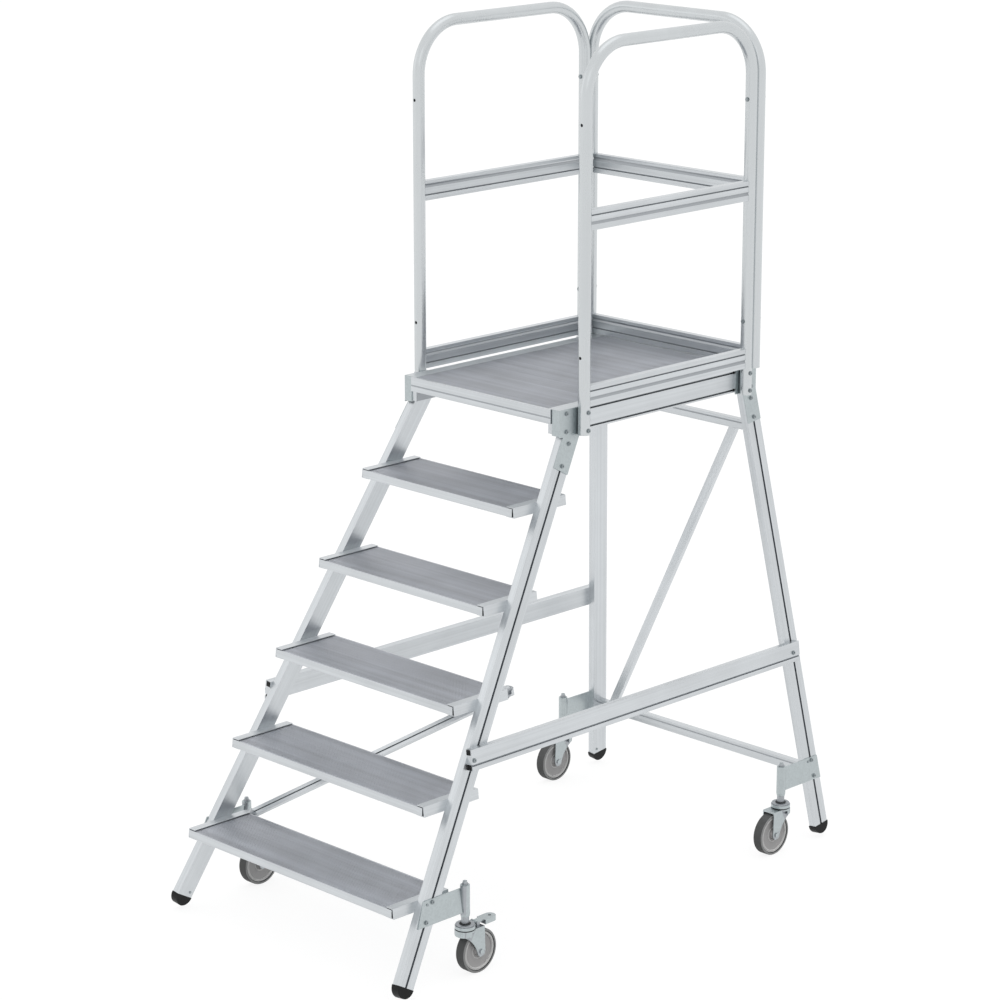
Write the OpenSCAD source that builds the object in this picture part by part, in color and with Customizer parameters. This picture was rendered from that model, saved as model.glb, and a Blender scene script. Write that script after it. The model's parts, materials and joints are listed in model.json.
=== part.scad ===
// Mobile podium step: five treads, a guarded platform and four sprung castors.
// Millimetres. Z is up from the floor, X runs across the steps, Y along the climb.

/* [Overall] */
// rise from one tread to the next
step_rise = 240; // [230:1:250]
// distance along the floor between the front and the rear feet
base_len = 1706; // [1660:1:1750]
// distance across the floor between the feet
base_w = 910; // [880:1:940]
// gap under the feet while the castors carry the unloaded frame
foot_gap = 10; // [7:0.5:13]
// inward lean of both side frames, degrees
splay = 7; // [6.6:0.1:7.4]
// backward lean of the stiles, degrees
stile_lean = 30.3; // [29.8:0.1:30.8]
// forward lean of the rear legs, degrees
leg_lean = 7.7; // [7.2:0.1:8.2]

/* [Stiles and legs] */
// width of a stile, across its slotted face
stile_w = 57; // [52:0.5:62]
// width of a rear leg
leg_w = 55; // [50:0.5:60]
// thickness of the stiles and the legs
stile_t = 23; // [21:0.5:25]
// space between the top of a stile and the beam
stile_gap = 3; // [2:0.1:4]
// wall of the extrusions
wall = 2.4; // [2:0.1:2.8]
// mouth of a bolt slot
slot_mouth = 5.2; // [5.1:0.1:5.6]
// mouth of the slot in the stiles and the legs
stile_mouth = 7; // [6.5:0.1:7.4]
// width of a bolt slot behind its mouth
slot_w = 9.4; // [9.2:0.1:10]
// thickness of the two lips of a bolt slot
slot_lip = 2.2; // [2:0.1:2.6]
// depth of a bolt slot behind its lips
slot_deep = 5.5; // [5:0.1:6]

/* [Feet] */
// radius of the rounded sole
foot_r = 29.5; // [29:0.1:32]
// overhang of the foot past the faces of the stile
foot_lip = 1; // [0.5:0.1:1.5]
// length of the foot's prongs inside the stile
prong_len = 42; // [30:1:60]
// slack round the prongs and the plugs
plug_gap = 0.2; // [0.1:0.05:0.4]

/* [Treads] */
// depth of a tread from front to rear
tread_d = 204; // [190:1:215]
// height of a tread with its end caps
tread_h = 28.5; // [26:0.5:32]
// front edge of a tread ahead of the stile's middle
tread_over = 124; // [115:1:132]
// web of an end cap
cap_t = 3; // [2:0.1:4]
// width of the strip that an end cap lays over the tread
cap_w = 26; // [22:0.5:30]
// thickness of that strip
cap_flange = 2; // [1.5:0.1:2.5]
// space between the tread's end and the web of its cap
cap_gap = 0.6; // [0.5:0.1:3]
// front edge of a tread ahead of its caps
cap_back = 2.5; // [1.5:0.1:4]
// space between that strip and the ribs
strip_gap = 1.2; // [0.8:0.1:1.6]
// spacing of the ribs
rib_pitch = 6; // [5:0.1:8]
// width of a rib
rib_w = 3.4; // [2.5:0.1:4]
// height of a rib
rib_h = 1.2; // [0.8:0.1:1.6]
// plain edge in front of a tread's first rib
rib_edge = 9; // [6:0.5:14]
// plain edge beside the ribs of a plank
plank_edge = 4; // [3:0.5:6]
// wall of the treads and the planks
tread_wall = 2.6; // [2.2:0.1:3]

/* [Platform] */
// width of a side beam
beam_w = 42; // [36:0.5:48]
// height of a side beam
beam_h = 70; // [66:0.5:76]
// upper bolt slot below the top of the beam
slot_top = 12; // [10:0.1:14]
// lower bolt slot above the foot of the beam
slot_foot = 7.2; // [7.1:0.1:9]
// front end of the beams ahead of the stile's front edge
beam_over = 14.5; // [8:0.5:20]
// rear end of the beams past the leg's rear edge
beam_past = 0.5; // [0:0.1:4]
// ledge under the planks
ledge_w = 18; // [12:0.5:24]
// thickness of that ledge
ledge_t = 4; // [3:0.1:5]
// thickness of the planks
deck_t = 30; // [26:0.5:34]
// gap round the planks
deck_gap = 0.6; // [0.4:0.1:1]
// width of the rear beam
rear_beam_w = 42; // [36:0.5:48]
// height of the front nosing
nosing_h = 41; // [36:0.5:46]
// thickness of the front nosing
nosing_t = 7; // [6:0.5:9]
// lap of the nosing over the end of each side beam
nosing_lap = 15; // [10:0.5:16]
// groove along the nosing, below its top
nosing_line = 24; // [18:0.5:28]

/* [Gussets] */
// thickness of the zinc-plated plates
plate_t = 3; // [2.5:0.1:4]
// width of the gusset flange on the front of the beam
flange_w = 28; // [24:0.5:30]
// length of a gusset below the beam
gusset_drop = 95; // [88:0.5:102]
// upper bolt in the stile or leg below the beam
drop_a = 28; // [24:0.5:34]
// lower bolt in the stile or leg below the beam
drop_b = 84; // [76:0.5:88]
// upper gusset plate below the foot of the beam
gusset_lap = 6; // [3:0.5:9]
// front gusset bolts behind the front of the beam
front_bolt_in = 25; // [20:0.5:30]
// front gusset behind the front post's middle
front_past = 11.5; // [8:0.5:16]
// rear gusset ahead of the rear post's middle
rear_ahead = 24; // [20:0.5:28]

/* [Bolts] */
// radius of a bolt in a slot
bolt_r = 2.5; // [2.4:0.05:2.54]
// radius of a bolt's washer face
head_r = 6.6; // [6:0.1:7.5]
// thickness of the washer face
head_t = 1.4; // [1.1:0.1:1.8]
// radius of the round bolt head
dome_r = 4.8; // [4.2:0.1:5.4]
// height of the round bolt head
dome_h = 2.8; // [2.4:0.1:3.2]
// radius of the socket in a bolt head
socket_r = 2.6; // [2.2:0.1:3]
// depth of that socket
socket_deep = 1.8; // [1.4:0.1:2.2]
// side of a slot nut
nut_w = 9; // [8.6:0.1:9.1]
// thickness of a slot nut
nut_t = 4; // [3.5:0.1:4.5]
// radial slack of a bolt, a pin or a rivet in its hole
fit = 0.05; // [0.03:0.01:0.08]
// radius of a rivet
rivet_r = 2; // [1.6:0.1:2.4]
// radius of a rivet head
rivet_head = 3.8; // [3:0.1:4.5]
// height of a rivet head
rivet_h = 1.5; // [1:0.1:2]

/* [Guard rail] */
// outside diameter of the tube
tube_d = 34; // [32:0.5:36]
// wall of the tube
tube_wall = 2; // [1.6:0.1:2.5]
// top of the guard rail above the deck
guard_h = 1002; // [980:1:1020]
// bend radius of the tube's middle
bend_r = 145; // [130:1:160]
// slack between a tube and what it's bolted to
tube_gap = 0.3; // [0.2:0.05:0.5]
// front post's middle behind the front of the beams
post_in = 75.5; // [70:0.5:82]
// rear post's middle ahead of the rear of the beams
post_back = 65; // [58:0.5:70]
// posts below the foot of the beams
post_low = 6; // [4:0.5:9]
// foot of the rear hoop below the deck
hoop_low = 2; // [0:0.5:6]
// upper guard bolts below the top of the guard rail
hole_top = 229; // [215:1:250]
// lower guard bolts above the deck
hole_low = 139.5; // [125:0.5:155]
// radius of a guard bolt
guard_r = 4; // [3.5:0.1:4.2]
// radius of the holes for a gate in the front posts
gate_r = 4.5; // [4.4:0.1:5]

/* [Knee rails and toe boards] */
// height of the rail extrusion
rail_h = 56; // [54:0.5:58]
// thickness of the rail extrusion
rail_t = 20; // [18:0.5:22]
// wall of the rail extrusion
rail_wall = 2; // [1.6:0.1:2.2]
// top of the knee rails above the deck
knee_up = 543; // [525:1:560]
// top of the toe boards above the deck
toe_up = 59; // [58:0.5:75]
// deep outer groove below the top of a rail
rail_line_a = 14.5; // [13.5:0.1:16]
// wide outer groove below the top of a rail
rail_line_b = 35; // [34:0.1:36]
// wide inner groove below the top of a rail
rail_line_c = 14; // [13:0.1:16]
// deep inner groove above the foot of a rail
rail_line_d = 16; // [14:0.1:17]
// depth of the deep grooves
rail_deep = 5; // [4.5:0.1:5.5]
// width of the wide grooves
vee_w = 11; // [9:0.1:12]
// depth of the wide grooves
vee_d = 2.4; // [2:0.1:2.6]
// width of the narrow grooves
line_w = 4; // [3:0.1:5]
// depth of the shallow narrow grooves
line_d = 1; // [0.6:0.1:1.3]
// solid web with the pin hole in the middle of a rail
rail_web = 13; // [12:0.5:14]
// radius of the pins in the rail ends
pin_r = 4; // [3:0.1:4.5]
// length of a pin inside the rail
pin_in = 30; // [20:1:40]
// length of a pin inside the post
pin_out = 7; // [5:0.5:10]
// slack of a rail's hollowed end round its post
cope_gap = 0.1; // [0.05:0.01:0.15]

/* [Side braces] */
// height of the middle of a brace
brace_z = 586; // [560:1:610]
// height of a brace
brace_h = 58.5; // [54:0.5:64]
// thickness of a brace
brace_t = 20; // [18:0.5:22]
// front end of a brace ahead of the stile's middle
brace_ahead = 28; // [25:0.5:30]
// rear end of a brace past the leg's middle
brace_past = 9.5; // [7:0.5:16]
// front bolt behind the front end
brace_bolt_a = 7.5; // [7:0.1:9]
// rear bolt ahead of the rear end
brace_bolt_b = 28; // [24:0.5:30]
// bolts above the middle of a brace
brace_bolt_up = -1; // [-3:0.5:2]
// groove above the foot of a brace
brace_line = 14.5; // [12:0.5:16]
// width of that groove
groove_w = 5; // [4:0.1:6]
// depth of that groove
groove_d = 4.5; // [4:0.1:5]
// height of the two outer cells of a brace
brace_cell = 12; // [10:0.5:13]
// depth of the black plugs in those cells
plug_len = 24; // [15:1:40]
// thickness of a plug's head outside the cell
plug_head = 1.5; // [1:0.1:2]
// lap of a plug's head over the walls of the cell
plug_lip = 1.4; // [0.8:0.1:2]
// closed length at the front end of the middle cell
brace_shut = 20; // [18:1:40]

/* [Rear and front bars] */
// middle of the upper cross bar below the deck
top_bar_down = 182; // [172:1:192]
// height of the upper cross bar
top_bar_h = 29; // [25:0.5:33]
// middle of the lower cross bar above the floor
low_bar_z = 212; // [206:0.5:226]
// height of the lower cross bar
low_bar_h = 32; // [28:0.5:36]
// thickness of both cross bars
bar_t = 20; // [16:0.5:24]
// groove of the cross bars below their top
bar_line = 9; // [7:0.5:11]
// width of the rear diagonal
rear_diag_w = 25; // [20:0.5:30]
// thickness of the rear diagonal
rear_diag_t = 16; // [12:0.5:18]
// upper end of the rear diagonal from the right leg
rear_diag_a = 58; // [50:1:70]
// lower end of the rear diagonal from the left leg
rear_diag_b = 60; // [50:1:70]
// width of the front diagonal
front_diag_w = 24; // [20:0.5:28]
// thickness of the front diagonal
front_diag_t = 12; // [10:0.5:14]
// clearance of the front diagonal behind the treads
front_diag_gap = 2; // [1:0.1:4]
// front diagonal past the middle of its lugs
front_diag_past = 12; // [8:0.5:16]

/* [Castor brackets] */
// foot of the bracket's plate
bracket_low = 183; // [178:0.5:188]
// top of the bracket's plate
bracket_top = 252; // [251.5:0.5:258]
// plate's foot behind the front edge of the stile
edge_low = 9.5; // [5:0.5:12]
// plate's top ahead of the front edge of the stile
edge_top = 5; // [2:0.5:8]
// sleeve's middle behind the front feet
front_castor_in = 238; // [230:1:245]
// sleeve's middle ahead of the rear feet
rear_castor_in = 167; // [160:1:175]
// upper bracket bolt above the floor
bracket_bolt_a = 243; // [238:0.5:244]
// lower bracket bolt above the floor
bracket_bolt_b = 194; // [190:0.5:198]
// bracket rivet ahead of the bolts
bracket_rivet = 14.5; // [13:0.5:18]
// bracket rivet below the upper bolt
rivet_drop = 12; // [8:0.5:16]
// outside radius of the sleeve
sleeve_r = 13.3; // [12.8:0.1:14.5]
// inside radius of the sleeve
sleeve_in = 10.8; // [10.6:0.1:11.2]
// foot of the sleeve
sleeve_low = 171; // [169:0.5:173]
// height of the cone at the foot of the sleeve
sleeve_cone = 7; // [4:0.5:10]
// outside radius at the foot of the cone
sleeve_tip = 11.8; // [11.5:0.1:12.4]
// top of the sleeve
sleeve_top = 261; // [257:0.5:265]
// closed top of the sleeve
sleeve_cap = 8; // [6:0.5:10]

/* [Castors] */
// radius of the wheel
wheel_r = 62.5; // [62:0.1:63]
// width of the tyre
tyre_w = 30; // [28:0.5:32]
// inside radius of the tyre
tyre_in = 56; // [54:0.5:56]
// slack between the tyre and the wheel's core
tyre_gap = 0.3; // [0.25:0.05:0.4]
// rounding of the tyre's shoulders
tyre_round = 2.8; // [2:0.1:3]
// distance of the axle behind the swivel axis
trail = 41; // [38:0.5:44]
// radius of the axle
axle_r = 6; // [5:0.1:7]
// radius of the wheel's hub
hub_r = 16; // [14:0.5:18]
// width of the wheel's hub
hub_w = 34; // [33:0.5:35.5]
// width of the wheel's web
web_w = 19; // [14:0.5:22]
// width of the wheel's rim
rim_w = 25.5; // [24:0.5:26]
// width of the rim ring inside the tyre
rim_ring = 8; // [6:0.5:10]
// inside half width of the fork
fork_in = 18.5; // [18:0.5:20]
// thickness of the fork's legs
fork_t = 3; // [2.5:0.1:3.5]
// radius of the fork's ends round the axle
fork_end = 14.5; // [13:0.5:15]
// front edge of a fork leg ahead of the swivel axis
fork_front = 19; // [17:0.5:20]
// rear edge of a fork leg behind the swivel axis
fork_rear = 53; // [50:0.5:54]
// radius of the hollow front edge of a fork leg
fork_scoop = 95; // [85:1:110]
// depth of the round skirt under the front of the crown
skirt_h = 12; // [10:0.5:14]
// underside of the fork's crown
crown_low = 129; // [128.5:0.1:130]
// thickness of the fork's crown
crown_t = 5; // [4:0.1:5.4]
// depth of the dark bearing ring
ring_t = 3; // [2.5:0.1:3.5]
// radius of the bearing ring
ring_r = 23; // [21:0.5:25]
// radius of the swivel head
head_disc_r = 28; // [26:0.5:29]
// height of the upper head disc
head_disc_h = 13; // [11:0.5:13.5]
// radius of the kingpin in the crown
king_r = 5; // [4.5:0.1:5.5]
// radius of the kingpin's foot
king_foot = 8; // [7:0.1:9]
// thickness of the kingpin's foot
king_foot_t = 2; // [1.5:0.1:2.5]
// radius of the stem's rod
rod_r = 6; // [5.5:0.1:6.2]
// length of the stem's guide inside the sleeve
guide_in = 14; // [12:0.5:16]
// height of the top nut
top_nut_h = 6; // [5:0.5:8]
// radius of the top nut across its corners
top_nut_r = 8; // [7.5:0.1:9]
// rod above the top nut
rod_past = 5; // [4:0.5:8]
// radius of the spring's coil body
spring_r = 9.6; // [9.2:0.1:9.8]
// inside radius of the spring
spring_in = 7.4; // [7:0.1:7.8]

/* [Brake pedals] */
// pivot behind the swivel axis
pedal_y = 37; // [36:0.1:38]
// pivot above the crown
pedal_up = 8; // [7.5:0.1:9]
// radius of the pivot pin
pedal_pin = 3; // [2.5:0.1:3.3]
// radius of the pedal's eye
pedal_eye = 6; // [5.4:0.1:6.5]
// half the width of the pedal between the ears
pedal_half = 10; // [8:0.5:12]
// end of the pedal behind the swivel axis
pedal_end = 109; // [100:1:116]
// thickness of the pedal
pedal_t = 4; // [3.5:0.1:5]
// half the width of the foot plate
pedal_pad = 17; // [14:0.5:20]
// start of the foot plate behind the pivot
pedal_neck = 24; // [18:0.5:30]
// thickness of the ears on the crown
ear_t = 3; // [2.5:0.1:4]
// slack between the pedal and the ears
ear_gap = 0.4; // [0.3:0.05:0.6]
// rise of the released pedal towards its end, degrees
pedal_rise = 1; // [0.5:0.5:3]
// depth of the foot plate's sides below the pivot
pedal_skirt = 9; // [7:0.5:11]
// radius of the hole near the end of the foot plate
pedal_hole = 4.5; // [3.5:0.1:6]

/* [Hidden] */
rise_count = 6;
tread_count = 5;
plank_count = 3;
// treads that the front diagonal runs between
low_tread_count = 1;
high_tread_count = 3;
fine = 48;
// overrun of a cut past the face it opens
over = 1;

deck_z = foot_gap + rise_count * step_rise;
beam_z = deck_z - beam_h;
foot_t = stile_t + 2 * foot_lip;
foot_z = foot_gap + foot_r * cos(splay) + foot_t / 2 * sin(splay);
half_skew = stile_t / 2 / cos(splay);
plate_skew = plate_t / cos(splay);
stile_slope = tan(stile_lean) / cos(splay);
leg_slope = tan(leg_lean) / cos(splay);
stile_hh = stile_w / 2 / cos(stile_lean);
leg_hh = leg_w / 2 / cos(leg_lean);

// middle plane, inner face and outer face of the right side frame at a height
function side_x(z) = base_w / 2 - (z - foot_z) * tan(splay);
function inner_x(z) = side_x(z) - half_skew;
function outer_x(z) = side_x(z) + half_skew;
// middle line of a stile and of a rear leg at a height
function stile_y(z) = -base_len / 2 + (z - foot_z) * stile_slope;
function leg_y(z) = base_len / 2 - (z - foot_z) * leg_slope;
// height along the side frame, and the distance along a stile or a leg
function up(z) = (z - foot_z) / cos(splay);
function along_stile(z) = up(z) / cos(stile_lean);
function along_leg(z) = up(z) / cos(leg_lean);
// top and front edge of a tread
function tread_z(i) = foot_gap + i * step_rise;
function tread_y(i) = stile_y(tread_z(i)) - tread_over;

half_w = outer_x(beam_z);
front_y = stile_y(beam_z) - stile_hh - beam_over;
rear_y = leg_y(beam_z) + leg_hh + beam_past;
deck_half = half_w - beam_w;
plank_d = (rear_y - rear_beam_w - front_y) / plank_count;
slot_z = [beam_z + slot_foot, deck_z - slot_top];

tube_r = tube_d / 2;
hoop_x = half_w + plate_t + tube_gap + tube_r;
hoop_z = deck_z + guard_h - tube_r;
front_post_y = front_y + post_in;
rear_post_y = rear_y - post_back;
hoop_y = rear_post_y + tube_d + tube_gap;
guard_z = [deck_z + hole_low, deck_z + guard_h - hole_top];
knee_z = deck_z + knee_up - rail_h;
toe_z = deck_z + toe_up - rail_h;

brace_hollow = brace_t - 2 * wall - groove_d;
brace_cell_x = stile_t / 2 + wall + brace_hollow / 2;
brace_y0 = stile_y(brace_z) - brace_ahead;
brace_y1 = leg_y(brace_z) + brace_past;
top_bar_z = deck_z - top_bar_down;

bracket_mid = (bracket_low + bracket_top) / 2;
sleeve_x = outer_x(bracket_mid) + plate_skew / 2;
front_castor_y = -base_len / 2 + front_castor_in;
rear_castor_y = base_len / 2 - rear_castor_in;
ring_low = crown_low + crown_t;
disc_low = ring_low + ring_t;
guide_top = sleeve_low + guide_in;
cap_low = sleeve_top - sleeve_cap;
pedal_z = ring_low + pedal_up;

// frames of reference

module on_right() {
  translate([base_w / 2, 0, foot_z])
    rotate([0, -splay, 0])
      children();
}

module both() {
  children();
  mirror([1, 0, 0])
    children();
}

module on_stile() {
  translate([0, -base_len / 2, 0])
    rotate([-stile_lean, 0, 0])
      children();
}

module on_leg() {
  translate([0, base_len / 2, 0])
    rotate([leg_lean, 0, 0])
      children();
}

module below(z) {
  intersection() {
    children();
    translate([-base_len, -base_len, -base_len])
      cube([2 * base_len, 2 * base_len, base_len + z]);
  }
}

// a hollow drawn in the upright plane across the object, and one across the climb
module across_y(y0, y1) {
  translate([0, y1, 0])
    rotate([90, 0, 0])
      linear_extrude(y1 - y0)
        children();
}

module across_x(x0, x1) {
  translate([x0, 0, 0])
    rotate([90, 0, 90])
      linear_extrude(x1 - x0)
        children();
}

// fasteners

// bolt along X: washer face at zero, round head outside, slot nut at the given depth
module slot_bolt(depth) {
  rotate([0, 90, 0]) {
    cylinder(r = head_r, h = head_t, $fn = fine);
    difference() {
      cylinder(r = dome_r, h = head_t + dome_h, $fn = fine);
      translate([0, 0, head_t + dome_h - socket_deep])
        cylinder(r = socket_r, h = socket_deep + over, $fn = 6);
    }
    translate([0, 0, -depth - nut_t])
      cylinder(r = bolt_r, h = depth + nut_t + head_t, $fn = fine);
  }
  translate([-depth - nut_t, -nut_w / 2, -nut_w / 2])
    cube([nut_t, nut_w, nut_w]);
}

module bolt_hole(depth, out) {
  translate([-depth - over, 0, 0])
    rotate([0, 90, 0])
      cylinder(r = bolt_r + fit, h = depth + out + 2 * over, $fn = fine);
}

module rivet(depth) {
  rotate([0, 90, 0]) {
    cylinder(r = rivet_head, h = rivet_h, $fn = fine);
    translate([0, 0, -depth])
      cylinder(r = rivet_r, h = depth + rivet_h, $fn = fine);
  }
}

module rivet_hole(depth) {
  translate([-depth - over, 0, 0])
    rotate([0, 90, 0])
      cylinder(r = rivet_r + fit, h = depth + 2 * over, $fn = fine);
}

// stiles, legs and feet

module frame_profile(w) {
  cell = w / 2 - slot_w / 2 - 2 * wall;
  back = stile_t - 2 * wall - slot_lip - slot_deep;
  difference() {
    square([stile_t, w], center = true);
    for (s = [-1, 1])
      translate([0, s * (w / 2 - wall - cell / 2)])
        square([stile_t - 2 * wall, cell], center = true);
    translate([-stile_t / 2 + wall, -slot_w / 2])
      square([back, slot_w]);
    translate([stile_t / 2 - slot_lip - slot_deep, -slot_w / 2])
      square([slot_deep, slot_w]);
    translate([stile_t / 2 - slot_lip - slot_deep / 2, -stile_mouth / 2])
      square([slot_lip + slot_deep / 2 + over, stile_mouth]);
  }
}

module foot_rivet_at(w) {
  translate([-stile_t / 2, w / 4, prong_len / 3])
    rotate([0, 180, 0])
      children();
}

module stile_bar() {
  difference() {
    below(beam_z - stile_gap)
      on_right()
        on_stile()
          difference() {
            linear_extrude(along_stile(beam_z) + stile_w)
              frame_profile(stile_w);
            foot_rivet_at(stile_w)
              rivet_hole(wall);
          }
    brace_bolts_at()
      bolt_hole(brace_t + wall, 0);
  }
}

module leg_bar() {
  difference() {
    below(beam_z)
      on_right()
        on_leg()
          difference() {
            linear_extrude(along_leg(beam_z) + leg_w)
              frame_profile(leg_w);
            mirror([0, 1, 0])
              foot_rivet_at(leg_w)
                rivet_hole(wall);
          }
    brace_bolts_at()
      bolt_hole(brace_t + wall, 0);
  }
}

module stile_left() {
  color("silver")
    mirror([1, 0, 0])
      stile_bar();
}

module stile_right() {
  color("silver")
    stile_bar();
}

module rear_leg_left() {
  color("silver")
    mirror([1, 0, 0])
      leg_bar();
}

module rear_leg_right() {
  color("silver")
    leg_bar();
}

module foot(w) {
  cell = w / 2 - slot_w / 2 - 2 * wall;
  thick = stile_t - 2 * wall - 2 * plug_gap;
  difference() {
    union() {
      difference() {
        rotate([0, 90, 0])
          cylinder(r = foot_r, h = foot_t, center = true, $fn = fine);
        translate([-foot_t, -2 * foot_r, 0])
          cube([2 * foot_t, 4 * foot_r, 2 * foot_r]);
      }
      for (s = [-1, 1])
        translate([0, s * (w / 2 - wall - cell / 2), prong_len / 2 - foot_r / 4])
          cube([thick, cell - 2 * plug_gap, prong_len + foot_r / 2], center = true);
    }
    foot_rivet_at(w)
      rivet_hole(stile_t / 2);
  }
}

module feet() {
  color("#1b1c1e")
    both()
      on_right() {
        on_stile()
          foot(stile_w);
        on_leg()
          mirror([0, 1, 0])
            foot(leg_w);
      }
}

// treads and their end caps

module plank_profile(d, h, edge) {
  count = floor((d - 2 * edge) / rib_pitch);
  start = (d - count * rib_pitch + rib_pitch - rib_w) / 2;
  cell = (d - 4 * tread_wall) / 3;
  difference() {
    union() {
      square([d, h - rib_h]);
      square([edge - rib_pitch / 3, h]);
      translate([d - edge + rib_pitch / 3, 0])
        square([edge - rib_pitch / 3, h]);
      for (i = [0:count - 1])
        translate([start + i * rib_pitch, 0])
          square([rib_w, h]);
    }
    for (i = [0:2])
      translate([tread_wall + i * (cell + tread_wall), tread_wall])
        square([cell, h - rib_h - 2 * tread_wall]);
  }
}

module tread(i) {
  half = inner_x(tread_z(i)) - cap_t / cos(splay) - cap_gap;
  color("#a5a8af")
    translate([0, tread_y(i), tread_z(i) - tread_h + cap_flange])
      across_x(-half, half)
        plank_profile(tread_d, tread_h - 2 * cap_flange - strip_gap, rib_edge);
}

module tread_1() {
  tread(1);
}

module tread_2() {
  tread(2);
}

module tread_3() {
  tread(3);
}

module tread_4() {
  tread(4);
}

module tread_5() {
  tread(5);
}

module tread_cap(i) {
  z1 = tread_z(i);
  z0 = z1 - tread_h;
  web = cap_t / cos(splay);
  tip = inner_x(z1) - cap_w;
  across_y(tread_y(i) + cap_back, tread_y(i) + tread_d)
    polygon([
      [tip, z1],
      [inner_x(z1), z1],
      [inner_x(z0), z0],
      [tip, z0],
      [tip, z0 + cap_flange],
      [inner_x(z0 + cap_flange) - web, z0 + cap_flange],
      [inner_x(z1 - cap_flange) - web, z1 - cap_flange],
      [tip, z1 - cap_flange]]);
}

module tread_caps() {
  color("#d4d7d9")
    both()
      for (i = [1:tread_count])
        tread_cap(i);
}

// platform

module slot_cut() {
  translate([-slot_lip - slot_deep, -slot_w / 2])
    square([slot_deep, slot_w]);
  translate([-slot_lip - slot_deep / 2, -slot_mouth / 2])
    square([slot_lip + slot_deep / 2 + over, slot_mouth]);
}

module beam_profile() {
  deep = slot_lip + slot_deep + wall;
  low = slot_z[0] + slot_w / 2 + wall;
  high = slot_z[1] - slot_w / 2 - wall;
  difference() {
    translate([deck_half, beam_z])
      square([beam_w, beam_h]);
    for (z = slot_z)
      translate([half_w, z])
        slot_cut();
    translate([deck_half + wall, beam_z + wall])
      square([beam_w - wall - deep, beam_h - 2 * wall]);
    translate([half_w - deep - wall, low])
      square([deep, high - low]);
  }
}

module beam() {
  across_y(front_y, rear_y)
    beam_profile();
  translate([deck_half, front_y, beam_z])
    cube([beam_w, wall, beam_h]);
  translate([deck_half - ledge_w, front_y, deck_z - deck_t - ledge_t])
    cube([ledge_w + wall / 2, rear_y - rear_beam_w - front_y - deck_gap, ledge_t]);
}

module side_beam_left() {
  color("#cdd1d4")
    mirror([1, 0, 0])
      beam();
}

module side_beam_right() {
  color("#cdd1d4")
    beam();
}

module rear_beam() {
  color("#cdd1d4")
    across_x(-deck_half, deck_half)
      difference() {
        translate([rear_y - rear_beam_w, beam_z])
          square([rear_beam_w, beam_h]);
        translate([rear_y - rear_beam_w + wall, beam_z + wall])
          square([rear_beam_w - 2 * wall, beam_h - 2 * wall]);
      }
}

module front_nosing() {
  color("#cdd1d4")
    across_x(-deck_half - nosing_lap, deck_half + nosing_lap)
      difference() {
        translate([front_y - nosing_t, deck_z - nosing_h])
          square([nosing_t, nosing_h]);
        translate([front_y - nosing_t - over, deck_z - nosing_line - line_w / 2])
          square([line_d + over, line_w]);
      }
}

module deck_planks() {
  color("#a5a8af")
    for (i = [0:plank_count - 1])
      translate([0, front_y + i * plank_d + deck_gap / 2, deck_z - deck_t])
        across_x(deck_gap - deck_half, deck_half - deck_gap)
          plank_profile(plank_d - deck_gap, deck_t, plank_edge);
}

// gussets

// bent sheet: upright beside the beam, leaning below it
module gusset_sheet(y0, y1) {
  foot = beam_z - 2 * gusset_drop;
  bend = beam_z + (plate_skew - plate_t) / tan(splay);
  across_y(y0, y1)
    polygon([
      [half_w, deck_z],
      [half_w + plate_t, deck_z],
      [half_w + plate_t, bend],
      [outer_x(foot) + plate_skew, foot],
      [outer_x(foot), foot],
      [half_w, beam_z]]);
}

module front_gusset_outline() {
  y0 = front_y - plate_t;
  low = beam_z - gusset_drop;
  skew = stile_hh * cos(stile_lean) * sin(stile_lean);
  translate([y0, beam_z - gusset_lap])
    square([front_post_y + front_past - y0, beam_h + gusset_lap]);
  polygon([
    [stile_y(low + skew) - stile_hh, low + skew],
    [stile_y(beam_z) - stile_hh, beam_z],
    [stile_y(beam_z) + stile_hh, beam_z],
    [stile_y(low - skew) + stile_hh, low - skew]]);
}

module rear_gusset_outline() {
  y0 = rear_post_y - rear_ahead;
  low = beam_z - gusset_drop;
  skew = leg_hh * cos(leg_lean) * sin(leg_lean);
  translate([y0, beam_z - gusset_lap])
    square([rear_y - y0, beam_h + gusset_lap]);
  polygon([
    [leg_y(low - skew) - leg_hh, low - skew],
    [leg_y(beam_z) - leg_hh, beam_z],
    [leg_y(beam_z) + leg_hh, beam_z],
    [leg_y(low + skew) + leg_hh, low + skew]]);
}

// places of the bolts that come through a gusset, each facing along X
module post_bolts_at(y) {
  for (z = slot_z)
    translate([hoop_x + tube_r, y, z])
      children();
}

module plate_bolts_at() {
  for (z = slot_z)
    translate([half_w + plate_t, front_y + front_bolt_in, z])
      children();
}

module stile_bolts_at() {
  on_right()
    on_stile()
      for (d = [drop_a, drop_b])
        translate([stile_t / 2 + plate_t, 0, along_stile(beam_z - d)])
          children();
}

module leg_bolts_at() {
  on_right()
    on_leg()
      for (d = [drop_a, drop_b])
        translate([stile_t / 2 + plate_t, 0, along_leg(beam_z - d)])
          children();
}

module front_gussets() {
  span = hoop_x;
  color("#b6bfc0")
    both()
      difference() {
        union() {
          intersection() {
            gusset_sheet(front_y - stile_w - beam_w - gusset_drop, rear_post_y);
            across_x(half_w - span / 2, half_w + span / 2)
              front_gusset_outline();
          }
          translate([half_w + plate_t - flange_w, front_y - plate_t, beam_z - gusset_lap / 2])
            cube([flange_w - plate_t / 2, plate_t, beam_h + gusset_lap / 2]);
        }
        post_bolts_at(front_post_y)
          bolt_hole(tube_d + tube_gap + plate_t, 0);
        plate_bolts_at()
          bolt_hole(plate_t, 0);
        stile_bolts_at()
          bolt_hole(plate_t, 0);
      }
}

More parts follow.
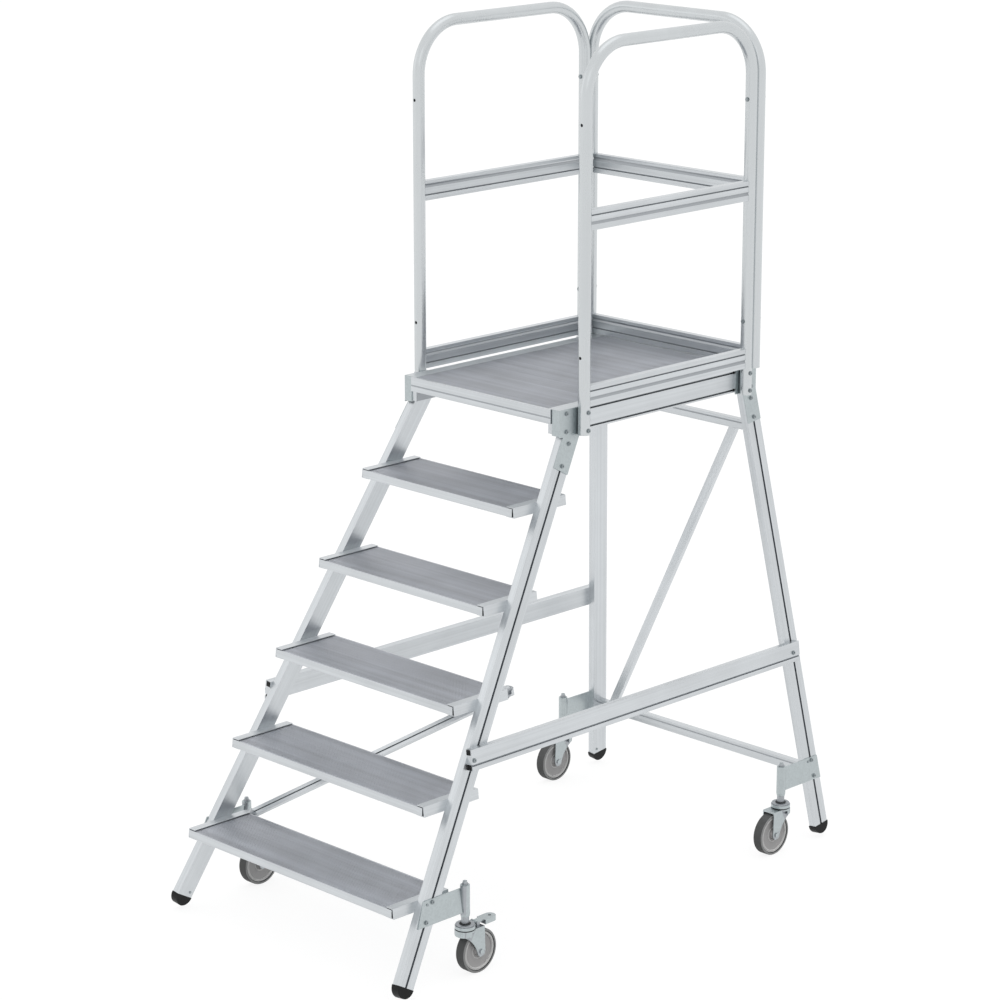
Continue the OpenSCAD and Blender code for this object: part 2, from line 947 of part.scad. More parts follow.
module rear_gussets() {
  span = hoop_x;
  color("#b6bfc0")
    both()
      difference() {
        intersection() {
          gusset_sheet(front_post_y, rear_y + leg_w + gusset_drop);
          across_x(half_w - span / 2, half_w + span / 2)
            rear_gusset_outline();
        }
        post_bolts_at(rear_post_y)
          bolt_hole(tube_d + tube_gap + plate_t, 0);
        leg_bolts_at()
          bolt_hole(plate_t, 0);
      }
}

module gusset_bolts() {
  reach = tube_d + tube_gap + plate_t + slot_lip;
  color("#9aa0a3")
    both() {
      post_bolts_at(front_post_y)
        slot_bolt(reach);
      post_bolts_at(rear_post_y)
        slot_bolt(reach);
      plate_bolts_at()
        slot_bolt(plate_t + slot_lip);
      stile_bolts_at()
        slot_bolt(plate_t + slot_lip);
      leg_bolts_at()
        slot_bolt(plate_t + slot_lip);
    }
}

// guard rail

module tube_ring() {
  difference() {
    circle(r = tube_r, $fn = fine);
    circle(r = tube_r - tube_wall, $fn = fine);
  }
}

// hoop in the plane X, Z with its posts at plus and minus half, each half a post, a bend and half the top
module hoop(half, low) {
  for (a = [0, 180])
    rotate([0, 0, a]) {
      translate([half, 0, low])
        linear_extrude(hoop_z - bend_r - low)
          tube_ring();
      translate([half - bend_r, 0, hoop_z - bend_r])
        rotate([90, 0, 0])
          rotate_extrude(angle = 90, $fn = fine)
            translate([bend_r, 0])
              tube_ring();
      translate([0, 0, hoop_z])
        rotate([0, 90, 0])
          linear_extrude(half - bend_r)
            tube_ring();
    }
}

module guard_hole(y0, y1, r) {
  translate([0, y1, 0])
    rotate([90, 0, 0])
      cylinder(r = r, h = y1 - y0, $fn = fine);
}

// hole for a rail pin, out of the middle of a post
module pin_hole(turn, z) {
  translate([0, 0, z + rail_h / 2])
    rotate([0, 90, turn])
      cylinder(r = pin_r + fit, h = tube_d, $fn = fine);
}

// holes of a side post, with the pin holes on the side that the turn points to
module side_post_holes(y, turn, r) {
  post_bolts_at(y)
    bolt_hole(tube_d, 0);
  for (z = guard_z)
    translate([hoop_x, y, z])
      guard_hole(-tube_d, tube_d, r);
  for (z = [knee_z, toe_z])
    translate([hoop_x, y, 0])
      pin_hole(turn, z);
}

module side_hoop() {
  difference() {
    translate([hoop_x, (front_post_y + rear_post_y) / 2, 0])
      rotate([0, 0, 90])
        hoop((rear_post_y - front_post_y) / 2, beam_z - post_low);
    side_post_holes(front_post_y, 90, gate_r);
    side_post_holes(rear_post_y, -90, guard_r + fit);
  }
}

module hoop_left() {
  color("#d0d4d6")
    mirror([1, 0, 0])
      side_hoop();
}

module hoop_right() {
  color("#d0d4d6")
    side_hoop();
}

module hoop_rear() {
  color("#d0d4d6")
    difference() {
      translate([0, hoop_y, 0])
        hoop(hoop_x, deck_z - hoop_low);
      both() {
        for (z = guard_z)
          translate([hoop_x, hoop_y, z])
            guard_hole(-tube_d, tube_d, guard_r + fit);
        for (z = [knee_z, toe_z])
          translate([hoop_x, hoop_y, 0])
            pin_hole(180, z);
      }
    }
}

module guard_bolts() {
  y0 = rear_post_y - tube_r;
  y1 = hoop_y + tube_r;
  color("#9aa0a3")
    both()
      for (z = guard_z)
        translate([hoop_x, 0, z]) {
          guard_hole(y0, y1, guard_r);
          guard_hole(y0 - head_t, y0, head_r);
          guard_hole(y0 - head_t - dome_h, y0, dome_r);
          guard_hole(y1, y1 + head_t, head_r);
          translate([0, y1 + head_t + dome_h, 0])
            rotate([90, 0, 0])
              cylinder(r = dome_r + head_t / 2, h = dome_h + head_t, $fn = 6);
        }
}

// wide groove in a face that looks along X
module vee_cut() {
  polygon([
    [-vee_d, 0],
    [0, vee_w / 2],
    [over, vee_w / 2],
    [over, -vee_w / 2],
    [0, -vee_w / 2]]);
}

// rail section: thickness along X with the outer face at the positive side, foot at zero
module rail_profile() {
  web0 = rail_h / 2 - rail_web / 2;
  web1 = rail_h / 2 + rail_web / 2;
  inside = rail_t - 2 * rail_wall;
  cell = inside - rail_deep - vee_d;
  difference() {
    translate([-rail_t / 2, 0])
      square([rail_t, rail_h]);
    translate([rail_deep - inside / 2, rail_wall])
      square([cell, web0 - rail_wall]);
    translate([vee_d - inside / 2, web1])
      square([cell, rail_h - rail_wall - web1]);
    translate([0, rail_h / 2])
      circle(r = pin_r + fit, $fn = fine);
    translate([rail_t / 2 - rail_deep, rail_h - rail_line_a - line_w / 2])
      square([rail_deep + over, line_w]);
    translate([-rail_t / 2 - over, rail_line_d - line_w / 2])
      square([rail_deep + over, line_w]);
    translate([rail_t / 2, rail_h - rail_line_b])
      vee_cut();
    translate([-rail_t / 2, rail_h - rail_line_c])
      mirror([1, 0])
        vee_cut();
  }
}

module post_cut(z) {
  translate([0, 0, z - rail_h / 2])
    cylinder(r = tube_r + cope_gap, h = 2 * rail_h, $fn = fine);
}

module side_rail(z) {
  difference() {
    translate([hoop_x, 0, z])
      across_y(front_post_y, rear_post_y)
        rail_profile();
    for (y = [front_post_y, rear_post_y])
      translate([hoop_x, y, 0])
        post_cut(z);
  }
}

module rear_rail(z) {
  difference() {
    translate([0, hoop_y, z])
      across_x(-hoop_x, hoop_x)
        rail_profile();
    both()
      translate([hoop_x, hoop_y, 0])
        post_cut(z);
  }
}

module side_knee_rails() {
  color("#cdd1d4")
    both()
      side_rail(knee_z);
}

module side_toe_boards() {
  color("#cdd1d4")
    both()
      side_rail(toe_z);
}

module rear_knee_rail() {
  color("#cdd1d4")
    rear_rail(knee_z);
}

module rear_toe_board() {
  color("#cdd1d4")
    rear_rail(toe_z);
}

// pin along X from inside a post's wall into the end of a rail
module rail_pin(z) {
  translate([tube_r - pin_out, 0, z + rail_h / 2])
    rotate([0, 90, 0])
      cylinder(r = pin_r, h = pin_out + pin_in, $fn = fine);
}

module rail_pins() {
  color("#9aa0a3")
    both()
      for (z = [knee_z, toe_z]) {
        translate([hoop_x, front_post_y, 0])
          rotate([0, 0, 90])
            rail_pin(z);
        translate([hoop_x, rear_post_y, 0])
          rotate([0, 0, -90])
            rail_pin(z);
        translate([hoop_x, hoop_y, 0])
          rotate([0, 0, 180])
            rail_pin(z);
      }
}

// side braces

module brace_cell_at(s) {
  translate([brace_cell_x, s * (brace_h / 2 - wall - brace_cell / 2)])
    children();
}

module brace_bolts_at() {
  on_right()
    for (y = [brace_y0 + brace_bolt_a, brace_y1 - brace_bolt_b])
      translate([stile_t / 2 + brace_t, y, up(brace_z) + brace_bolt_up])
        children();
}

module side_brace() {
  middle = brace_h - 2 * brace_cell - 4 * wall;
  difference() {
    on_right()
      translate([0, 0, up(brace_z)])
        difference() {
          across_y(brace_y0, brace_y1)
            difference() {
              translate([stile_t / 2, -brace_h / 2])
                square([brace_t, brace_h]);
              for (s = [-1, 1])
                brace_cell_at(s)
                  square([brace_hollow, brace_cell], center = true);
              translate([stile_t / 2 + brace_t - groove_d, brace_line - brace_h / 2 - groove_w / 2])
                square([groove_d + over, groove_w]);
            }
          translate([stile_t / 2 + wall, brace_y0 + brace_shut, -middle / 2])
            cube([brace_hollow, brace_y1 - brace_y0, middle]);
        }
    brace_bolts_at()
      bolt_hole(brace_t, 0);
  }
}

module side_braces() {
  color("#cdd1d4")
    both()
      side_brace();
}

// plug along Y with its head at zero, standing out towards the front
module brace_plug() {
  thick = brace_hollow;
  across_y(-plug_head, 0)
    square([thick + 2 * plug_lip, brace_cell + 2 * plug_lip], center = true);
  across_y(-plug_head, plug_len)
    square([thick - 2 * plug_gap, brace_cell - 2 * plug_gap], center = true);
}

module brace_plugs() {
  up_cell = brace_h / 2 - wall - brace_cell / 2;
  color("#1b1c1e")
    both()
      on_right()
        for (s = [-1, 1])
          translate([brace_cell_x, 0, up(brace_z) + s * up_cell]) {
            translate([0, brace_y0, 0])
              brace_plug();
            translate([0, brace_y1, 0])
              mirror([0, 1, 0])
                brace_plug();
          }
}

module brace_bolts() {
  color("#9aa0a3")
    both()
      brace_bolts_at()
        slot_bolt(brace_t + wall);
}

// cross bars and diagonals

// bar between the two side frames, cut flush with the planes that it meets
module cross_bar(z, h, y) {
  difference() {
    across_y(y - bar_t / 2, y + bar_t / 2)
      polygon([
        [-inner_x(z + h / 2), z + h / 2],
        [inner_x(z + h / 2), z + h / 2],
        [inner_x(z - h / 2), z - h / 2],
        [-inner_x(z - h / 2), z - h / 2]]);
    across_x(-base_w, base_w) {
      translate([y - bar_t / 2 + wall, z - h / 2 + wall])
        square([bar_t - 2 * wall, h - 2 * wall]);
      translate([y - bar_t / 2 - over, z + h / 2 - bar_line - line_w / 2])
        square([line_d + over, line_w]);
    }
  }
}

module rear_bar_top() {
  color("#c6cacd")
    cross_bar(top_bar_z, top_bar_h, leg_y(top_bar_z));
}

module rear_bar_low() {
  color("#c6cacd")
    cross_bar(low_bar_z, low_bar_h, leg_y(low_bar_z));
}

module rear_diagonal() {
  z0 = low_bar_z + low_bar_h / 2;
  z1 = top_bar_z - top_bar_h / 2;
  x0 = rear_diag_b - inner_x(z0);
  x1 = inner_x(z1) - rear_diag_a;
  tilt = atan(leg_slope);
  rise = (z1 - z0) / cos(tilt);
  turn = atan2(x1 - x0, rise);
  color("#c6cacd")
    intersection() {
      translate([x0, leg_y(z0), z0])
        rotate([tilt, 0, 0])
          rotate([0, turn, 0])
            difference() {
              translate([-rear_diag_w / 2, -rear_diag_t / 2, -rear_diag_w])
                cube([rear_diag_w, rear_diag_t, rise / cos(turn) + 2 * rear_diag_w]);
              translate([wall - rear_diag_w / 2, wall - rear_diag_t / 2, -2 * rear_diag_w])
                cube([rear_diag_w - 2 * wall, rear_diag_t - 2 * wall, rise / cos(turn) + 4 * rear_diag_w]);
            }
      translate([-base_w, -base_len, z0])
        cube([2 * base_w, 2 * base_len, z1 - z0]);
    }
}

// lug that fills the wedge between a tread's rear end and the diagonal
module diag_lug(i) {
  z1 = tread_z(i);
  z0 = z1 - tread_h;
  y = tread_y(i) + tread_d;
  reach = (front_diag_gap + front_diag_t / 2) / cos(atan(stile_slope));
  across_x(inner_x(z1) - cap_w, inner_x(z1) - cap_t)
    polygon([
      [y, z0],
      [y + reach, z0],
      [y + reach + tread_h * stile_slope, z1],
      [y, z1]]);
}

module front_diagonal() {
  tilt = atan(stile_slope);
  za = tread_z(low_tread_count) - tread_h / 2;
  zb = tread_z(high_tread_count) - tread_h / 2;
  xa = cap_w / 2 - inner_x(za);
  xb = inner_x(zb) - cap_w / 2;
  rise = (zb - za) / cos(tilt);
  turn = atan2(xb - xa, rise);
  run = rise / cos(turn);
  back = (tread_d - tread_over + tread_h * stile_slope) * cos(tilt) + front_diag_gap + front_diag_t / 2;
  color("#c6cacd") {
    translate([xa, stile_y(za), za])
      rotate([-tilt, 0, 0])
        translate([0, back, back * tan(tilt)])
          rotate([0, turn, 0])
            difference() {
              translate([-front_diag_w / 2, -front_diag_t / 2, -front_diag_past])
                cube([front_diag_w, front_diag_t, run + 2 * front_diag_past]);
              translate([-line_w / 2, -front_diag_t / 2 - over, -front_diag_past - over])
                cube([line_w, front_diag_t / 3 + over, run + 2 * front_diag_past + 2 * over]);
            }
    mirror([1, 0, 0])
      diag_lug(low_tread_count);
    diag_lug(high_tread_count);
  }
}

// castor brackets

module bracket_bolts_front() {
  on_right()
    on_stile()
      for (z = [bracket_bolt_a, bracket_bolt_b])
        translate([stile_t / 2 + plate_t, 0, along_stile(z)])
          children();
}

module bracket_bolts_rear() {
  on_right()
    on_leg()
      for (z = [bracket_bolt_a, bracket_bolt_b])
        translate([stile_t / 2 + plate_t, 0, along_leg(z)])
          children();
}

module bracket_rivet_front() {
  on_right()
    on_stile()
      translate([stile_t / 2 + plate_t, -bracket_rivet, along_stile(bracket_bolt_a) - rivet_drop])
        children();
}

module bracket_rivet_rear() {
  on_right()
    on_leg()
      translate([stile_t / 2 + plate_t, -bracket_rivet, along_leg(bracket_bolt_a)])
        children();
}

// plate on the outer face of a side frame, from the sleeve's middle to two points at its foot and top
module bracket_plate(y, far_low, far_top) {
  on_right()
    across_x(stile_t / 2, stile_t / 2 + plate_t)
      polygon([
        [far_low, up(bracket_low)],
        [far_top, up(bracket_top)],
        [y, up(bracket_top)],
        [y, up(bracket_low)]]);
}

module sleeve(y) {
  translate([sleeve_x, y, sleeve_low]) {
    cylinder(r1 = sleeve_tip, r2 = sleeve_r, h = sleeve_cone, $fn = fine);
    translate([0, 0, sleeve_cone])
      cylinder(r = sleeve_r, h = sleeve_top - sleeve_low - sleeve_cone, $fn = fine);
  }
}

module sleeve_bore(y) {
  translate([sleeve_x, y, sleeve_low - over])
    cylinder(r = sleeve_in, h = cap_low - sleeve_low + over, $fn = fine);
  translate([sleeve_x, y, sleeve_low])
    cylinder(r = rod_r + fit, h = sleeve_top - sleeve_low + over, $fn = fine);
}

module front_bracket() {
  difference() {
    union() {
      bracket_plate(
        front_castor_y,
        stile_y(bracket_low) - stile_hh + edge_low,
        stile_y(bracket_top) - stile_hh - edge_top);
      sleeve(front_castor_y);
    }
    sleeve_bore(front_castor_y);
    bracket_bolts_front()
      bolt_hole(plate_t, 0);
    bracket_rivet_front()
      rivet_hole(plate_t);
  }
}

module rear_bracket() {
  difference() {
    union() {
      bracket_plate(
        rear_castor_y,
        leg_y(bracket_low) + leg_hh,
        leg_y(bracket_top) + leg_hh);
      sleeve(rear_castor_y);
    }
    sleeve_bore(rear_castor_y);
    bracket_bolts_rear()
      bolt_hole(plate_t, 0);
    bracket_rivet_rear()
      rivet_hole(plate_t);
  }
}

module front_brackets() {
  color("#b6bfc0")
    both()
      front_bracket();
}

module rear_brackets() {
  color("#b6bfc0")
    both()
      rear_bracket();
}

module bracket_bolts() {
  color("#9aa0a3")
    both() {
      bracket_bolts_front()
        slot_bolt(plate_t + slot_lip);
      bracket_bolts_rear()
        slot_bolt(plate_t + slot_lip);
      bracket_rivet_front()
        rivet(plate_t);
      bracket_rivet_rear()
        rivet(plate_t);
      on_right() {
        on_stile()
          foot_rivet_at(stile_w)
            rivet(wall + prong_len / 8);
        on_leg()
          mirror([0, 1, 0])
            foot_rivet_at(leg_w)
              rivet(wall + prong_len / 8);
      }
    }
}

// castors, drawn with the swivel axis on Z and the wheel behind it along Y

module stem() {
  color("#b9bfc2") {
    translate([0, 0, crown_low - king_foot_t])
      cylinder(r = king_foot, h = king_foot_t, $fn = fine);
    translate([0, 0, crown_low - king_foot_t])
      cylinder(r = king_r, h = king_foot_t + crown_t + ring_t, $fn = fine);
    translate([0, 0, ring_low + fit])
      cylinder(r = ring_r, h = ring_t, $fn = fine);
    translate([0, 0, disc_low])
      cylinder(r = head_disc_r, h = head_disc_h * 2 / 3, $fn = fine);
    translate([0, 0, disc_low])
      cylinder(r = head_disc_r - head_disc_h / 5, h = head_disc_h, $fn = fine);
    translate([0, 0, disc_low])
      cylinder(r = sleeve_in - fit, h = guide_top - disc_low, $fn = fine);
    translate([0, 0, disc_low])
      cylinder(r = rod_r, h = sleeve_top + top_nut_h + rod_past - disc_low, $fn = fine);
    translate([0, 0, sleeve_top])
      cylinder(r = top_nut_r + head_t, h = head_t, $fn = fine);
    translate([0, 0, sleeve_top])
      cylinder(r = top_nut_r, h = top_nut_h, $fn = 6);
    translate([0, 0, sleeve_top + top_nut_h])
      cylinder(r1 = rod_r + head_t / 2, r2 = rod_r / 2, h = rod_past + head_t, $fn = fine);
  }
}

module spring() {
  color("#8d9194")
    translate([0, 0, guide_top])
      difference() {
        cylinder(r = spring_r, h = cap_low - guide_top, $fn = fine);
        translate([0, 0, -over])
          cylinder(r = spring_in, h = cap_low - guide_top + 2 * over, $fn = fine);
      }
}

// leg with a straight rear edge and a hollow front edge between two points
module fork_leg_outline() {
  high = [-fork_front, crown_low - skirt_h];
  low = [trail - fork_end, wheel_r];
  run = low - high;
  out = sqrt(fork_scoop * fork_scoop - run * run / 4) / norm(run);
  difference() {
    polygon([
      [-fork_front, ring_low],
      [fork_rear, ring_low],
      [trail + fork_end, wheel_r],
      low,
      high]);
    translate((high + low) / 2 + out * [run[1], -run[0]])
      circle(r = fork_scoop, $fn = fine);
  }
  translate([trail, wheel_r])
    circle(r = fork_end, $fn = fine);
}

module fork_body() {
  difference() {
    union() {
      translate([0, 0, crown_low])
        cylinder(r = head_disc_r, h = crown_t, $fn = fine);
      translate([-fork_in - fork_t, 0, crown_low])
        cube([2 * (fork_in + fork_t), fork_rear, crown_t]);
      translate([0, 0, crown_low - skirt_h])
        difference() {
          cylinder(r = head_disc_r, h = skirt_h + crown_t / 2, $fn = fine);
          translate([0, 0, -over])
            cylinder(r = head_disc_r - fork_t, h = skirt_h + over, $fn = fine);
          translate([-head_disc_r - over, 0, -over])
            cube([2 * head_disc_r + 2 * over, head_disc_r + over, skirt_h + crown_t + over]);
        }
    }
    translate([0, 0, crown_low - over])
      cylinder(r = king_r + fit, h = crown_t + 2 * over, $fn = fine);
  }
  for (s = [-1, 1])
    translate([s * (fork_in + fork_t / 2), 0, 0])
      across_x(-fork_t / 2, fork_t / 2)
        fork_leg_outline();
  translate([0, trail, wheel_r])
    rotate([0, 90, 0]) {
      cylinder(r = axle_r, h = 2 * (fork_in + fork_t), center = true, $fn = fine);
      difference() {
        cylinder(r = axle_r + head_t, h = 2 * (fork_in + fork_t + dome_h), center = true, $fn = 6);
        cylinder(r = 2 * axle_r, h = 2 * fork_in + fork_t, center = true, $fn = fine);
      }
    }
}

module fork_plain() {
  color("#b9bfc2")
    fork_body();
}

module ear_outline() {
  polygon([
    [pedal_y - pedal_eye, crown_low + crown_t / 2],
    [pedal_y + pedal_eye / 2, crown_low + crown_t / 2],
    [pedal_y + pedal_eye, pedal_z],
    [pedal_y - pedal_eye, pedal_z]]);
  translate([pedal_y, pedal_z])
    circle(r = pedal_eye, $fn = fine);
}

module fork_braked() {
  color("#b9bfc2") {
    fork_body();
    for (s = [-1, 1])
      translate([s * (pedal_half + ear_gap + ear_t / 2), 0, 0])
        across_x(-ear_t / 2, ear_t / 2)
          ear_outline();
    translate([0, pedal_y, pedal_z])
      rotate([0, 90, 0])
        cylinder(r = pedal_pin, h = 2 * (pedal_half + ear_gap + ear_t), center = true, $fn = fine);
  }
}

// foot plate seen from above, less a margin all round
module pedal_pad_outline(less) {
  reach = pedal_end - pedal_y - pedal_pad;
  half = pedal_pad - less;
  translate([-half, pedal_neck + less])
    square([2 * half, reach - pedal_neck - less]);
  translate([0, reach])
    circle(r = half, $fn = fine);
}

module pedal() {
  reach = pedal_end - pedal_y - pedal_pad;
  color("#a9b0b2")
    translate([0, pedal_y, pedal_z])
      rotate([pedal_rise, 0, 0])
        difference() {
          union() {
            across_x(-pedal_half, pedal_half)
              circle(r = pedal_eye, $fn = fine);
            translate([-pedal_half, 0, 0])
              cube([2 * pedal_half, pedal_neck + pedal_eye, pedal_t]);
            difference() {
              translate([0, 0, -pedal_skirt])
                linear_extrude(pedal_skirt + pedal_t)
                  pedal_pad_outline(0);
              translate([0, 0, -pedal_skirt - over])
                linear_extrude(pedal_skirt + over)
                  pedal_pad_outline(pedal_t / 2);
              translate([0, reach, -over])
                cylinder(r = pedal_hole, h = pedal_t + 2 * over, $fn = fine);
            }
          }
          rotate([0, 90, 0])
            cylinder(r = pedal_pin + fit, h = 4 * pedal_half, center = true, $fn = fine);
        }
}

module wheel_core() {
  color("#969493")
    translate([0, trail, wheel_r])
      rotate([0, 90, 0])
        rotate_extrude($fn = fine) {
          translate([axle_r + fit, -hub_w / 2])
            square([hub_r - axle_r - fit, hub_w]);
          translate([axle_r + fit, -web_w / 2])
            square([tyre_in - tyre_gap - axle_r - fit, web_w]);
          translate([tyre_in - tyre_gap - rim_ring, -rim_w / 2])
            square([rim_ring, rim_w]);
        }
}

module tyre() {
  core = wheel_r - tyre_in;
  color("#555657")
    translate([0, trail, wheel_r])
      rotate([0, 90, 0])
        rotate_extrude($fn = fine) {
          translate([tyre_in, -tyre_w / 2])
            square([core - tyre_round, tyre_w]);
          translate([tyre_in, tyre_round - tyre_w / 2])
            square([core, tyre_w - 2 * tyre_round]);
          for (s = [-1, 1])
            translate([wheel_r - tyre_round, s * (tyre_w / 2 - tyre_round)])
              circle(r = tyre_round, $fn = fine);
        }
}

module at_fl() {
  translate([-sleeve_x, front_castor_y, 0])
    children();
}

module at_fr() {
  translate([sleeve_x, front_castor_y, 0])
    children();
}

module at_rl() {
  translate([-sleeve_x, rear_castor_y, 0])
    rotate([0, 0, 180])
      children();
}

module at_rr() {
  translate([sleeve_x, rear_castor_y, 0])
    rotate([0, 0, 180])
      children();
}

stile_left();
stile_right();
rear_leg_left();
rear_leg_right();
feet();
tread_1();
tread_2();
tread_3();
tread_4();
tread_5();
tread_caps();
side_beam_left();
side_beam_right();
rear_beam();
front_nosing();
deck_planks();
front_gussets();
rear_gussets();
gusset_bolts();
hoop_left();
hoop_right();
hoop_rear();
guard_bolts();
side_knee_rails();
rear_knee_rail();
side_toe_boards();
rear_toe_board();
rail_pins();
side_braces();
brace_plugs();
brace_bolts();
rear_bar_top();
rear_bar_low();
rear_diagonal();
front_diagonal();
front_brackets();
rear_brackets();
bracket_bolts();
at_fl() stem();  // stem_fl
at_fr() stem();  // stem_fr
at_rl() stem();  // stem_rl
at_rr() stem();  // stem_rr
at_fl() spring();  // spring_fl
at_fr() spring();  // spring_fr
at_rl() spring();  // spring_rl
at_rr() spring();  // spring_rr
at_fl() fork_braked();  // fork_fl
at_fr() fork_braked();  // fork_fr
at_rl() fork_plain();  // fork_rl
at_rr() fork_plain();  // fork_rr
at_fl() wheel_core();  // core_fl
at_fr() wheel_core();  // core_fr
at_rl() wheel_core();  // core_rl
at_rr() wheel_core();  // core_rr
at_fl() tyre();  // tyre_fl
at_fr() tyre();  // tyre_fr
at_rl() tyre();  // tyre_rl
at_rr() tyre();  // tyre_rr
at_fl() pedal();  // pedal_fl
at_fr() pedal();  // pedal_fr
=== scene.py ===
"""Dressed model of a podium step: an aluminium platform ladder on sprung castors, in a plain pale studio."""

import json
import logging
import math
from collections.abc import Callable, Mapping, Sequence
from dataclasses import dataclass, field
from enum import Enum
from typing import ClassVar

import bmesh
import bpy
from mathutils import Matrix, Vector
from mathutils.bvhtree import BVHTree


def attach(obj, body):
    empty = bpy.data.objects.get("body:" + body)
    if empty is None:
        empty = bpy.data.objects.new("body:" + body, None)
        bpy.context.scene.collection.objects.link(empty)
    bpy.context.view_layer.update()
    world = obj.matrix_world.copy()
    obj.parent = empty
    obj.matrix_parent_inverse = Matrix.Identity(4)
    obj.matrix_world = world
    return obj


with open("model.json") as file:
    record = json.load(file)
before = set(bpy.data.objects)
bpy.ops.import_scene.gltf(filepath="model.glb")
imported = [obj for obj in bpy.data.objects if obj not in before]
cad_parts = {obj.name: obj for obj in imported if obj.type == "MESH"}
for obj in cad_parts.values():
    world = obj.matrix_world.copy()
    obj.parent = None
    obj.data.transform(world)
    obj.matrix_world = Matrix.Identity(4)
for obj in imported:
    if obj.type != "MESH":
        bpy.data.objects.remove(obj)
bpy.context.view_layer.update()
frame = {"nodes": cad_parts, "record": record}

MM = 0.001
Point = tuple[float, float, float]
Colour = tuple[float, float, float, float]
log = logging.getLogger("podium_step")


# Cosines between the true and the rounded normal where an edge starts to look rubbed and where it fully is.
RUB_FROM, RUB_FULL = 0.995, 0.9
# Rays that round one point of an edge.
BEVEL_RAYS = 4
# Vertices nearer than this, in metres, are one.
SAME_POINT = 1e-7
# Edges that turn by more than this many degrees stay sharp.
SHARP_ANGLE = 35.0
# Directions in which a face of a solid is tested for open sky.
SKY_RAYS = 96
# Thickness of a weld's ends as a share of its own.
WELD_END = 0.4


# Colour and shader helpers


def srgb(code: str, level: float = 1.0) -> Colour:
    """Turn an sRGB hex value into linear light.

    Args:
        code: six hex digits, with or without a hash.
        level: factor on the linear value.

    Returns:
        Linear red, green, blue and an alpha of one.
    """
    digits = code.lstrip("#")
    shares = [int(digits[i : i + 2], 16) / 255 for i in (0, 2, 4)]
    lit = [c / 12.92 if c <= 0.04045 else ((c + 0.055) / 1.055) ** 2.4 for c in shares]
    return (lit[0] * level, lit[1] * level, lit[2] * level, 1.0)


def add(
    tree: bpy.types.NodeTree,
    kind: str,
    inputs: Mapping[str | int, object] | None = None,
    settings: Mapping[str, object] | None = None,
) -> bpy.types.Node:
    """Add one node with its settings, its fixed values and its links.

    Args:
        tree: node tree that takes the node.
        kind: type name of the node without its ShaderNode prefix.
        inputs: socket name or number to a value, or to an output socket to link.
        settings: properties of the node, set first because they can change its sockets.

    Returns:
        The new node.
    """
    node = tree.nodes.new("ShaderNode" + kind)
    for key, value in (settings or {}).items():
        setattr(node, key, value)
    for key, value in (inputs or {}).items():
        if isinstance(value, bpy.types.NodeSocket):
            tree.links.new(value, node.inputs[key])
        else:
            node.inputs[key].default_value = value
    return node


class Grain(Enum):
    """Direction in which a profile was drawn through its die, as a vector along the bar."""

    ALONG_X = (1.0, 0.0, 0.0)
    ALONG_Y = (0.0, 1.0, 0.0)
    UPRIGHT = (0.0, 0.0, 1.0)
    STILE_LEFT = (0.123, 0.589, 1.0)
    STILE_RIGHT = (-0.123, 0.589, 1.0)
    LEG_LEFT = (0.123, -0.135, 1.0)
    LEG_RIGHT = (-0.123, -0.135, 1.0)
    REAR_DIAGONAL = (627.0, -156.0, 1025.0)
    FRONT_DIAGONAL = (787.0, 314.0, 515.0)

    def turn(self) -> Point:
        """Return the turns in degrees that carry X onto the bar."""
        x, y, z = self.value
        return (0.0, -math.degrees(math.atan2(z, math.hypot(x, y))), math.degrees(math.atan2(y, x)))


